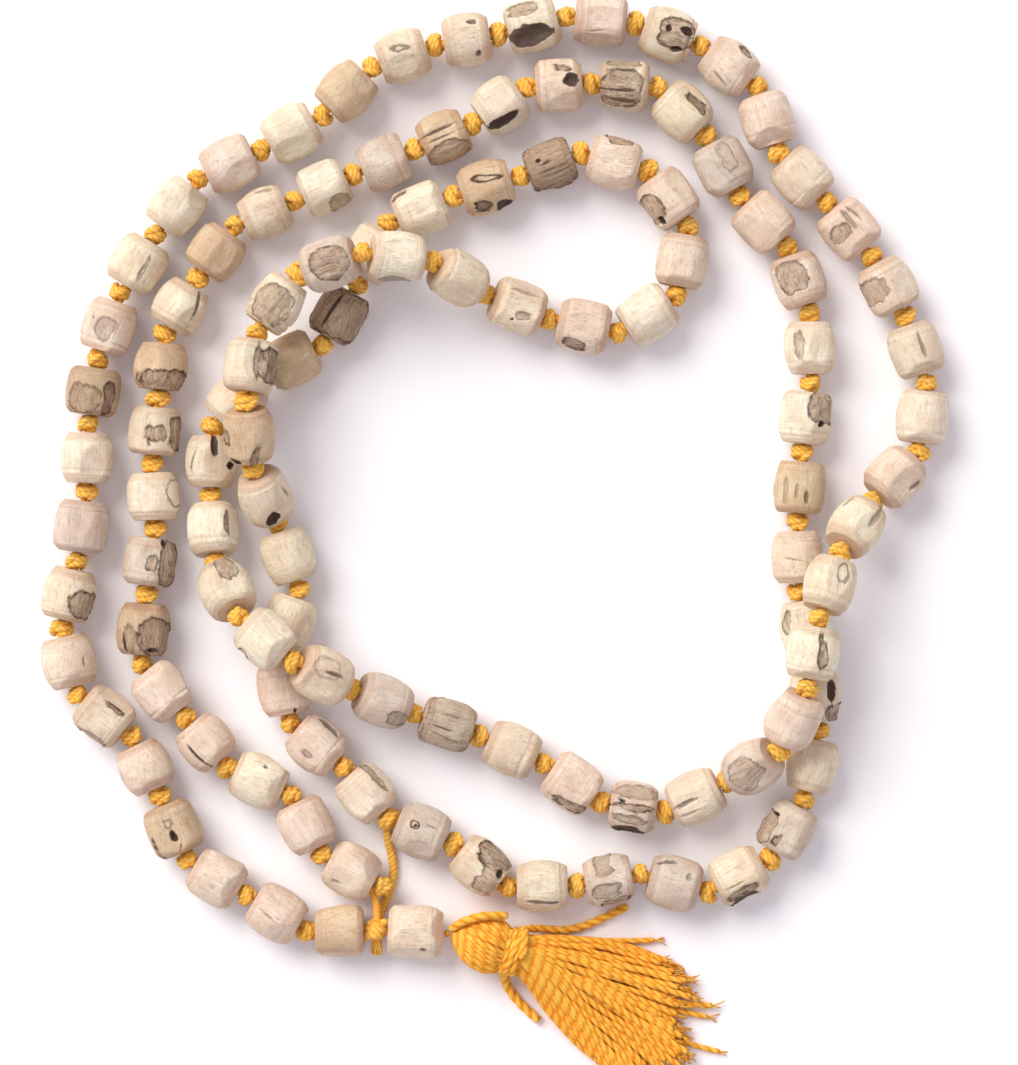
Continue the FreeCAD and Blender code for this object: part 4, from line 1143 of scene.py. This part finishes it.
@dataclass
class BeadMaker:
    """Copies the blank for each place on the thread and works the copy."""
    crown: float = 4.7
    face: float = 3.3
    bore: float = 0.7
    end_play: float = 0.1
    knot_half: float = 1.45
    joining_half: float = 1.95
    guru_length: float = 9.3
    keenness: float = 0.16            # how much deeper the flats are cut than CUTS says
    crowding: float = 0.35            # how much closer the mesh's points lie on the upper side
    blank: Optional[bpy.types.Object] = None
    u: Array = field(default_factory=lambda: np.zeros(0))
    around: Array = field(default_factory=lambda: np.zeros(0))
    rho: Array = field(default_factory=lambda: np.zeros(0))
    shade_of: dict = field(default_factory=dict)

    def prepare(self) -> None:
        """Turn the blank and note where its points lie."""
        maker = BeadBlank()
        self.blank = maker.turn()
        places = np.array([vertex.co for vertex in self.blank.data.vertices], float)
        self.u = places[:, 0]
        self.rho = np.hypot(places[:, 1], places[:, 2])
        angle = np.arctan2(places[:, 1], places[:, 2])
        self.around = angle - self.crowding * np.sin(angle)
        self.shade_of = {bead: shade for shade, beads in SHADES.items() for bead in beads}

    def seat(self, bead: int) -> tuple[Array, Array, float]:
        """Where a bead lies.

        Args:
            bead: Its number, or GURU.

        Returns:
            Its middle, its axis and its length.
        """
        if bead == GURU:
            reach = self.joining_half + self.end_play + self.guru_length / 2
            return KNOTS[0] + GURU_AXIS * reach, GURU_AXIS, self.guru_length
        start, finish = KNOTS[bead - 1], KNOTS[bead]
        axis = unit(finish - start)
        near = (self.joining_half if bead == 1 else self.knot_half) + self.end_play
        length = np.linalg.norm(finish - start) - near - self.knot_half - self.end_play
        return start + axis * (near + length / 2), axis, length

    def profile(self, x: Array, half: float, draws: np.random.Generator) -> tuple[Array, Array]:
        """The turned outline: a swelling barrel with worn shoulders and a few tool rings.

        Args:
            x: Places along the axis.
            half: Half the bead's length.
            draws: The bead's own random draws.

        Returns:
            The radius at each place, and how much dirt and painted shade darken it.
        """
        crown = self.crown - draws.uniform(0.0, 0.18)
        rise = draws.uniform(0.15, 0.5)
        shoulder = crown - rise
        near, far = draws.uniform(0.9, 1.8, 2)
        wear = draws.uniform(0.5, 0.85)
        chamfer = np.where(x < 0, near, far)
        rest = half - np.abs(x)
        worn = self.face + (shoulder - self.face) * np.clip(rest / chamfer, 0, 1) ** wear
        swell = shoulder + rise * (1 - np.clip(np.abs(x) / (half - chamfer), 0, 1) ** 2)
        radius = np.where(rest < chamfer, worn, swell)
        # The chamfered ends and the tool rings take dirt and painted shade.
        soil_and_shade = ease(1 - rest / chamfer, 0.0, 0.35) * draws.uniform(0.45, 1.0)
        for _ in range(draws.integers(2, 5)):
            ring = draws.choice((-1, 1)) * draws.uniform(0.45, 0.95) * half
            line = np.exp(-((x - ring) / draws.uniform(0.12, 0.22)) ** 2)
            radius = radius - draws.uniform(0.04, 0.15) * line
            soil_and_shade = np.maximum(soil_and_shade, draws.uniform(0.2, 0.7) * line)
        return radius, soil_and_shade

    def saw(self, bead: int, x: Array, radius: Array,
            draws: np.random.Generator) -> tuple[Array, Array]:
        """Cut the bead's flats.

        Args:
            bead: Its number.
            x: Places along the axis.
            radius: The radius before the cuts.
            draws: The bead's own random draws.

        Returns:
            The radius after them, and how near each point is to a flat's edge, which sets the painted shade
            along it.
        """
        flat_edge_shade = np.zeros(len(x))
        cuts = [tuple(float(word) for word in cut.split())
                for cut in CUTS.get(bead, "").split(";") if cut.strip()]
        if not cuts:
            cuts.append((draws.uniform(-50, 50), draws.uniform(-12, 12), draws.uniform(4.15, 4.4)))
        for _ in range(2):
            cuts.append((draws.uniform(95, 265), draws.uniform(-20, 20), draws.uniform(4.2, 4.5)))
        for turn, tilt, reach in cuts:
            reach -= self.keenness
            lean = math.radians(tilt)
            towards = math.cos(lean) * np.cos(self.around - math.radians(turn))
            limit = np.where(towards > 0.15, (reach - math.sin(lean) * x) / np.maximum(towards, 0.15), 99.0)
            gap = radius - limit
            flat_edge_shade = np.maximum(flat_edge_shade, np.where(limit < 50, np.exp(-(gap / 0.07) ** 2), 0))
            radius = np.where(limit < 50, (radius + limit - np.sqrt(gap * gap + 0.004)) / 2, radius)
        return radius, flat_edge_shade

    def marks(self, bead: int, draws: np.random.Generator) -> list[tuple]:
        """A bead's marks: the known ones above and a few on the side it lies on.

        Args:
            bead: Its number.
            draws: The bead's own random draws.

        Returns:
            For each mark its kind, place along, angle, half length, half width, turn and darkness.
        """
        found = []
        for text in MARKS.get(bead, "").split(";"):
            if not text.strip():
                continue
            kind, *numbers = text.split()
            x, y, half_long, half_wide, turn, dark = (float(number) for number in numbers)
            low = math.asin(max(-1.0, min(1.0, (y - half_wide) / self.crown)))
            high = math.asin(max(-1.0, min(1.0, (y + half_wide) / self.crown)))
            if (y + half_wide) / self.crown > 0.93:
                high = 1.9
            if (y - half_wide) / self.crown < -0.93:
                low = -1.9
            found.append((Mark(kind), x, (low + high) / 2, half_long,
                          self.crown * (high - low) / 2, turn, dark))
        for _ in range(draws.integers(0, 3)):
            kind = (Mark.BARK, Mark.SLIT, Mark.BARK, Mark.STAIN)[draws.integers(4)]
            wide = draws.uniform(0.25, 0.5) if kind is Mark.SLIT else draws.uniform(0.7, 2.2)
            found.append((kind, draws.uniform(-1.5, 1.5), math.radians(draws.uniform(125, 235)),
                          draws.uniform(1.0, 3.0), wide, draws.uniform(-15, 15), draws.uniform(0.2, 0.8)))
        return found

    def work(self, bead: int) -> bpy.types.Object:
        """Make one bead in its place.

        Args:
            bead: Its number, or GURU.

        Returns:
            The bead.
        """
        middle, axis, length = self.seat(bead)
        half = length / 2
        draws = np.random.default_rng(1000 + bead)
        x = self.u * half
        radius, wear = self.profile(x, half, draws)
        oval = draws.uniform(0, 2 * math.pi)
        radius = radius * (1 - 0.012 * (1 + np.cos(2 * self.around - oval)))
        radius, flat_edge_shade = self.saw(bead, x, radius, draws)
        local = np.stack((x, radius * np.sin(self.around), radius * np.cos(self.around)), axis=1)
        radius = radius + 0.05 * ripple(local, draws, (0.9, 0.9, 0.9)) - 0.03
        radius = np.minimum(radius, self.crown + 0.02)

        ragged = ripple(local, draws, (1.6, 3.2, 3.2), 9) + 0.5 * ripple(local, draws, (4, 7, 7), 9)
        grooves = ripple(local, draws, (0.5, 6.5, 6.5), 9)
        bark = np.full(len(x), -1.0)
        cut = np.full(len(x), -1.0)
        bark_tone, cut_tone, stain = np.zeros(len(x)), np.zeros(len(x)), np.zeros(len(x))
        sink = np.zeros(len(x))
        for kind, place, angle, half_long, half_wide, turn, dark in self.marks(bead, draws):
            sideways = self.crown * ((self.around - angle + math.pi) % (2 * math.pi) - math.pi)
            ahead = x - place
            c, s = math.cos(math.radians(turn)), math.sin(math.radians(turn))
            along, across = ahead * c + sideways * s, sideways * c - ahead * s
            power = 2.0 if kind in (Mark.STAIN, Mark.HOLLOW) else 2.8
            size = (np.abs(along / half_long) ** power + np.abs(across / half_wide) ** power) ** (1 / power)
            narrow = min(half_long, half_wide)
            inside = (1 - size) * narrow + 0.24 * min(1.0, narrow) * ragged
            if kind is Mark.STAIN:
                stain = np.maximum(stain, dark * ease(inside, -0.35 * narrow, 0.8 * narrow))
            elif kind is Mark.BARK:
                bark_tone = np.where(inside > bark, dark, bark_tone)
                bark = np.maximum(bark, inside)
                depth = (0.16 + 0.22 * dark) * ease(inside, -0.02, 0.34)
                sink = np.maximum(sink, depth + 0.07 * (1 + grooves) * ease(inside, 0.0, 0.4))
            else:
                if kind is Mark.RING:
                    inside = 0.2 - np.abs(inside - 0.2)
                cut_tone = np.where(inside > cut, dark, cut_tone)
                cut = np.maximum(cut, inside)
                deep = {Mark.SLIT: 0.34, Mark.HOLLOW: 0.85, Mark.RING: 0.16}[kind]
                sink = np.maximum(sink, deep * ease(inside, -0.05, max(0.16, 0.6 * narrow)))
        edge = ease(half - np.abs(x), 0.0, 0.7)
        radius = np.maximum(radius - sink * (0.35 + 0.65 * edge), 2.2)

        face_radius = self.bore + (radius - self.bore) * (self.rho - self.rho.min()) / (1 - self.rho.min())
        radius = np.where(self.rho < 0.999, face_radius, radius)
        other = unit(np.cross(UP, axis))
        above = np.cross(axis, other)
        places = (middle + np.outer(x, axis) + np.outer(radius * np.sin(self.around), other)
                  + np.outer(radius * np.cos(self.around), above))

        mesh = self.blank.data.copy()
        mesh.name = "bead"
        mesh.vertices.foreach_set("co", (places * MM).astype(np.float32).ravel())
        local = np.stack((x, radius * np.sin(self.around), radius * np.cos(self.around)), axis=1)
        put_values(mesh, "grain", local + draws.uniform(0, 400, 3))
        put_values(mesh, "bark", bark)
        put_values(mesh, "bark_tone", bark_tone)
        put_values(mesh, "cut", cut)
        put_values(mesh, "cut_tone", cut_tone)
        put_values(mesh, "stain", stain)
        # Dirt and painted shade of the ends and tool rings, and painted shade along the flats' edges.
        put_values(mesh, "wear", wear)
        put_values(mesh, "flat_edge_shade", flat_edge_shade)
        shade = np.array(linear(self.shade_of.get(bead, Wood.CREAM).value))
        shade[:3] *= draws.uniform(0.95, 1.03) * draws.uniform(0.985, 1.015, 3)
        put_values(mesh, "tint", np.tile(shade, (len(x), 1)))
        mesh.update()
        made = bpy.data.objects.new("bead", mesh)
        bpy.context.scene.collection.objects.link(made)
        return made

    def string(self, finish: bpy.types.Material) -> int:
        """Make all the beads and put each on its body.

        Args:
            finish: The wood.

        Returns:
            The number of pieces.
        """
        self.prepare()
        self.blank.data.materials.append(finish)
        pieces = 0
        held: dict[int, list] = {number: [] for number in range(1, STRETCHES + 1)}
        for bead in range(1, BEADS + 1):
            made = self.work(bead)
            if bead % SPINNING_EVERY:
                held[1 + (bead - 1) * STRETCHES // BEADS].append(made)
                continue
            made.name = made.data.name = f"turned_bead_{bead:03d}"
            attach(made, f"bead_{bead:03d}")
            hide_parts(f"bead_{bead:03d}")
            pieces += 1
        for number, members in held.items():
            activate(members[0])
            for member in members:
                member.select_set(True)
            bpy.ops.object.join()
            joined = bpy.context.object
            joined.name = joined.data.name = f"held_beads_{number}"
            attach(joined, "strand")
            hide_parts(f"strand_beads_{number}")
            pieces += 1
        guru = self.work(GURU)
        guru.name = guru.data.name = "turned_guru_bead"
        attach(guru, "guru_bead")
        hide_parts("guru_bead")
        bpy.data.objects.remove(self.blank)
        return pieces + 1


# ---------------------------------------------------------------------------------------------
# Tassel
# ---------------------------------------------------------------------------------------------
@dataclass
class Tassel:
    """The tassel beyond the guru bead: bight, wound head, bound neck, fringe and loose ends."""
    pivot: Triple = (-8.17, -66.02, 4.7)
    head_reach: float = 6.4            # from the pivot to the middle of the head
    head_height: float = 5.2
    head_threads: int = 72
    neck_reach: float = 10.5           # from the pivot to the start of the neck
    neck_length: float = 2.6
    fringe_threads: int = 105
    fringe_layers: int = 5
    thread_radius: float = 0.53
    ends: tuple = ((29.0, -70.0), (31.6, -72.6), (32.3, -76.0), (31.4, -79.5), (30.2, -82.0), (32.4, -85.6),
                   (30.2, -89.4), (25.0, -91.2), (20.5, -90.6), (17.6, -88.0))
    fray_fibres: int = 4               # at each cut end
    fray_radius: float = 0.13
    bed_rows: int = 12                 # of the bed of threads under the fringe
    bed_columns: int = 9
    bight_line: tuple = ((-0.35, -0.25, -0.3), (0.0, -0.42, 0.1), (0.3, 0.0, 0.3), (0.0, 0.42, 0.1),
                         (-0.35, 0.25, -0.3))
    over_head: tuple = ((-7.5, -65.3, 5.4), (-6.2, -64.1, 7.2), (-4.2, -63.2, 8.5), (-1.8, -62.6, 8.7),
                        (0.6, -62.7, 7.9), (1.9, -62.8, 7.0))
    lower_end: tuple = ((1.6, -72.6, 3.4), (1.5, -74.2, 1.8), (2.5, -76.3, 0.85), (4.6, -78.8, 0.8),
                        (7.4, -81.2, 0.8))
    upper_end: tuple = ((2.4, -66.3, 7.0), (4.6, -65.2, 4.2), (8.2, -65.5, 1.3), (12.4, -65.9, 0.85),
                        (17.2, -64.4, 0.85), (22.6, -61.7, 0.85))
    strays: tuple = (
        ((13.0, -72.0, 2.6), (22.0, -75.6, 2.4), (30.0, -78.2, 1.6), (37.0, -78.7, 1.0)),
        ((12.0, -73.0, 2.2), (22.0, -77.0, 2.0), (31.0, -79.6, 1.2), (36.2, -80.6, 0.7)),
        ((14.0, -76.0, 2.0), (24.0, -82.0, 1.8), (32.0, -85.0, 1.0), (38.3, -86.6, 0.7)),
        ((5.6, -67.4, 5.6), (13.2, -66.9, 2.6), (20.0, -67.8, 0.9), (27.1, -67.5, 0.8)),
    )

    def base(self) -> Array:
        """The pivot as an array."""
        return np.array(self.pivot)

    def on_axis(self, reach: float) -> Array:
        """A point on the head's axis."""
        place = self.base() + HEAD_AXIS * reach
        place[2] = 4.7 + (self.head_height - 4.7) * min(1.0, reach / self.head_reach)
        return place

    def outline(self, share: float) -> float:
        """The head's radius from its tip at zero to the neck at one."""
        knots = ((0.0, 0.75), (0.1, 2.3), (0.25, 3.75), (0.42, 4.6), (0.6, 5.0), (0.75, 4.85), (0.88, 4.15),
                 (1.0, 3.2))
        return float(np.interp(share, [k[0] for k in knots], [k[1] for k in knots]))

    def bight(self, finish: bpy.types.Material) -> bpy.types.Object:
        """The bight of thread at the guru bead's mouth."""
        skein = Skein(plies=3, pitch=2.2)
        line = [tuple(self.base() + np.array(place)) for place in self.bight_line]
        skein.run(smooth_lines([line], 0.2)[0], 0.34, 0.3)
        points, faces = ball((0.5, 0.5, 0.5), self.base(), HEAD_AXIS, 8, 10)
        # The core lies under the bight and takes painted shade.
        skein.put_in(points, faces, 0.4, 0.5)
        piece = skein.cut("tassel_bight", finish)
        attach(piece, "tassel_loop")
        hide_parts("tassel_loop")
        return piece

    def head(self, finish: bpy.types.Material) -> bpy.types.Object:
        """Wind the head: threads laid from its tip to the neck over a rounded core.

        Args:
            finish: Its material.

        Returns:
            The head.
        """
        draws = np.random.default_rng(71)
        tip, end = 0.95, self.neck_reach + 0.5
        lines, layers = [], []
        for layer, count in enumerate((self.head_threads // 2, self.head_threads // 2)):
            for k in range(count):
                first = 2 * math.pi * (k + 0.5 * layer) / count + draws.uniform(-0.06, 0.06)
                twist = draws.uniform(0.35, 0.7)
                line = []
                for stop in range(9):
                    share = stop / 8
                    reach = self.outline(share) - self.thread_radius * 0.9 - (0.25 if layer == 0 else 0.0)
                    reach += draws.uniform(-0.12, 0.12)
                    angle = first + twist * share + draws.uniform(-0.05, 0.05)
                    line.append(tuple(self.on_axis(tip + (end - tip) * share)
                                      + HEAD_SIDE * max(reach, 0.2) * math.cos(angle)
                                      + UP * max(reach, 0.2) * math.sin(angle)))
                lines.append(line)
                layers.append(layer)
        skein = Skein(plies=2, pitch=4.0, sides=7)
        for path, layer in zip(smooth_lines(lines, 0.55), layers):
            # The inner layer of the head takes painted shade.
            skein.run(path, self.thread_radius * draws.uniform(0.85, 1.05), draws.uniform(0, 1),
                      0.45 if layer == 0 else 0.0)
        points, faces = ball((4.6, 4.1, 4.1), self.on_axis(self.head_reach - 0.2), HEAD_AXIS)
        # The core lies under the head's threads and takes painted shade.
        skein.put_in(points, faces, 0.8, 0.9)
        skein.run(smooth_lines([self.over_head], 0.4)[0], 0.78, 0.0, 0.0, (0.6, 0.9))
        piece = skein.cut("tassel_wound_head", finish)
        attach(piece, "tassel")
        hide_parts("tassel_head")
        return piece

    def collar(self, finish: bpy.types.Material) -> bpy.types.Object:
        """Bind the neck: wraps side by side and two that cross them.

        Args:
            finish: Its material.

        Returns:
            The binding with the gathered neck inside it.
        """
        draws = np.random.default_rng(73)
        lines = []
        for start, turns, begin, finish_at, reach in (
                (0.4, 3.1, -0.2, 2.5, 3.62), (2.2, 0.9, -0.3, 2.9, 3.95), (5.0, 0.8, 2.9, -0.2, 3.9),
                (3.6, 0.7, 0.6, 2.6, 4.0)):
            line = []
            count = max(8, int(turns * 12))
            for k in range(count + 1):
                share = k / count
                angle = start + share * turns * 2 * math.pi
                line.append(tuple(self.on_axis(self.neck_reach + begin + (finish_at - begin) * share)
                                  + (HEAD_SIDE * math.cos(angle) * 1.08 + UP * math.sin(angle) * 0.95)
                                  * (reach + draws.uniform(-0.06, 0.06))))
            lines.append(line)
        skein = Skein(plies=2, pitch=4.0, sides=9)
        for path in smooth_lines(lines, 0.4):
            skein.run(path, 0.58, draws.uniform(0, 0.6))
        middle = self.on_axis(self.neck_reach + self.neck_length / 2)
        points, faces = ball((3.2, 3.45, 3.3), middle, HEAD_AXIS)
        # The gathered neck lies under the wraps and takes painted shade.
        skein.put_in(points, faces, 0.8, 0.8)
        piece = skein.cut("neck_wraps", finish)
        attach(piece, "tassel")
        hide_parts("tassel_neck", "neck_binding")
        return piece

    def frays(self, tips: Sequence[tuple[Array, Array]], draws: np.random.Generator) -> list[Array]:
        """Lay the fine fibres that the fringe's cut ends open into.

        Args:
            tips: The end and the direction of each thread.
            draws: Source of the random draws.

        Returns:
            The fibres' paths.
        """
        lines = []
        for place, onward in tips:
            side = unit(np.cross(UP, onward))
            for _ in range(self.fray_fibres):
                reach = draws.uniform(0.9, 2.4)
                spread = draws.uniform(-0.5, 0.5)
                far = place + onward * reach + side * spread * reach
                far[2] = max(0.2, place[2] + draws.uniform(-0.6, 0.3))
                middle = place + onward * reach * 0.5 + side * spread * reach * 0.2
                lines.append([tuple(place - onward * 0.4), tuple(middle), tuple(far)])
        return smooth_lines(lines, 0.6)

    def bed(self, mouth: Array) -> tuple[Array, list]:
        """Pack the bed of threads that lies under the fringe and closes the gaps in it.

        Args:
            mouth: Where the fringe leaves the neck.

        Returns:
            Its points and faces.
        """
        stops, ends = np.linspace(0, 1, len(self.ends)), np.array(self.ends)
        rows, wide = self.bed_rows, self.bed_columns
        top = []
        for row in range(rows + 1):
            part = row / rows * 0.9
            for share in np.linspace(0.04, 0.96, wide):
                end = np.array([np.interp(share, stops, ends[:, 0]), np.interp(share, stops, ends[:, 1])])
                flat = (mouth + HEAD_SIDE * (0.5 - share) * 6.4)[:2] * (1 - part) + end * part
                top.append((*flat, 0.9 + 3.6 * (1 - part) ** 2.2))
        top = np.array(top)
        under = top - UP * np.clip(top[:, 2:] - 0.35, 0, 0.5)
        total, faces = len(top), []
        for row in range(rows):
            for k in range(wide - 1):
                a = row * wide + k
                faces += [(a, a + wide, a + wide + 1, a + 1),
                          (total + a, total + a + 1, total + a + wide + 1, total + a + wide)]
        border = (list(range(wide - 1)) + [row * wide + wide - 1 for row in range(rows)]
                  + [rows * wide + k for k in range(wide - 1, 0, -1)]
                  + [row * wide for row in range(rows, 0, -1)])
        faces += [(a, b, total + b, total + a) for a, b in zip(border, border[1:] + border[:1])]
        return np.concatenate((top, under)), faces

    def fringe(self, finish: bpy.types.Material) -> bpy.types.Object:
        """Hang the fringe: threads that leave the neck in a bundle and fan out on the surface.

        Args:
            finish: Its material.

        Returns:
            The fringe.
        """
        draws = np.random.default_rng(79)
        stops = np.linspace(0, 1, len(self.ends))
        ends = np.array(self.ends)
        root = self.on_axis(self.neck_reach + 0.6)
        mouth = self.on_axis(self.neck_reach + self.neck_length + 1.0)
        lines, layers = [], []
        for k in range(self.fringe_threads):
            layer = k % self.fringe_layers
            place = k // self.fringe_layers + 0.5 + draws.uniform(-0.4, 0.4)
            share = min(1.0, place / (self.fringe_threads / self.fringe_layers))
            if layer == self.fringe_layers - 1:
                share = 0.12 + 0.76 * share
            end = np.array([np.interp(share, stops, ends[:, 0]), np.interp(share, stops, ends[:, 1]), 0.0])
            end[:2] += draws.uniform(-3.0, 1.3) * unit(end[:2] - root[:2])
            level = 2 * layer / (self.fringe_layers - 1) - 1
            half = math.sqrt(max(0.15, 1 - 0.8 * level * level))
            side = (0.5 - share) * 2 * half
            first = root + HEAD_SIDE * side * 2.6 + UP * level * 2.5
            second = mouth + HEAD_SIDE * side * 3.6 + UP * level * 2.5
            line = [tuple(first), tuple(second)]
            for part in (0.3, 0.52, 0.74, 0.9, 1.0):
                flat = second * (1 - part) + end * part
                bow = math.sin(math.pi * part) * 0.6 * side
                wander = draws.uniform(-0.85, 0.85) * math.sin(math.pi * part) + draws.uniform(-0.2, 0.2)
                settle = 0.6 + layer * 0.78 * (1 - 0.35 * part) + draws.uniform(-0.12, 0.3)
                height = settle + (second[2] - settle) * (1 - part) ** 2.2
                flat = flat + HEAD_SIDE * (bow + wander)
                line.append((flat[0], flat[1], max(0.6, height)))
            lines.append(line)
            layers.append(layer)
        for stray in self.strays:
            lines.append([tuple(mouth + HEAD_SIDE * 0.5)] + list(stray))
            layers.append(self.fringe_layers - 1)
        skein = Skein(plies=2, pitch=4.0, sides=9, lobe=0.20)
        for path, layer in zip(smooth_lines(lines, 0.5), layers):
            # Lower layers of the fringe take more painted shade.
            skein.run(path, self.thread_radius * draws.uniform(0.95, 1.15), draws.uniform(0, 1),
                      0.75 * (1 - layer / (self.fringe_layers - 1)), (0.8, 0.85))
        for path in self.frays(list(skein.tips), draws):
            skein.run(path, self.fray_radius, draws.uniform(0, 1), 0.0, (1.0, 0.5))
        # The bed lies under the fringe and takes painted shade.
        skein.put_in(*self.bed(mouth), 0.6, 0.8)
        piece = skein.cut("tassel_fringe", finish)
        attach(piece, "tassel")
        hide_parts("tassel_skirt")
        return piece

    def tails(self, finish: bpy.types.Material) -> bpy.types.Object:
        """Lay the two loose ends of the neck's binding.

        Args:
            finish: Their material.

        Returns:
            The loose ends.
        """
        skein = Skein(plies=2, pitch=4.0, sides=12, lobe=0.26)
        for line, radius, dye in ((self.lower_end, 0.85, 0.0), (self.upper_end, 0.75, 0.2)):
            skein.run(smooth_lines([line], 0.35)[0], radius, dye, 0.0, (0.8, 0.9))
        piece = skein.cut("binding_ends", finish)
        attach(piece, "tassel")
        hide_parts("binding_tail", "upper_tail")
        return piece


def main() -> None:
    """Build the mala piece by piece and report each."""
    logging.basicConfig(level=logging.INFO, format="%(name)s: %(message)s")
    studio = Studio()
    studio.place_camera()
    StringingThread().lay(HiddenThread("thread_in_the_wood").make())
    log.info("camera placed and stringing thread laid")
    studio.light()
    studio.lay_board()
    wood = RawWood("raw_wood").make()
    knot_thread = TwistedThread("knot_thread", plies=3, pitch=2.6).make()
    tassel_thread = TwistedThread("tassel_thread", plies=2, pitch=4.0, crest_highlight=(255, 214, 108),
                                  middle=(255, 188, 60), deep=(240, 146, 32)).make()
    log.info("beads: %d pieces", BeadMaker().string(wood))
    log.info("knots: %d pieces", len(Knots().tie(knot_thread)))
    joining = JoiningKnot()
    for make in (joining.tie, joining.trail, joining.lead):
        log.info("made %s", make(knot_thread).name)
    tassel = Tassel()
    for make in (tassel.bight, tassel.head, tassel.collar, tassel.fringe, tassel.tails):
        log.info("made %s", make(tassel_thread).name)


if __name__ == "__main__":
    main()
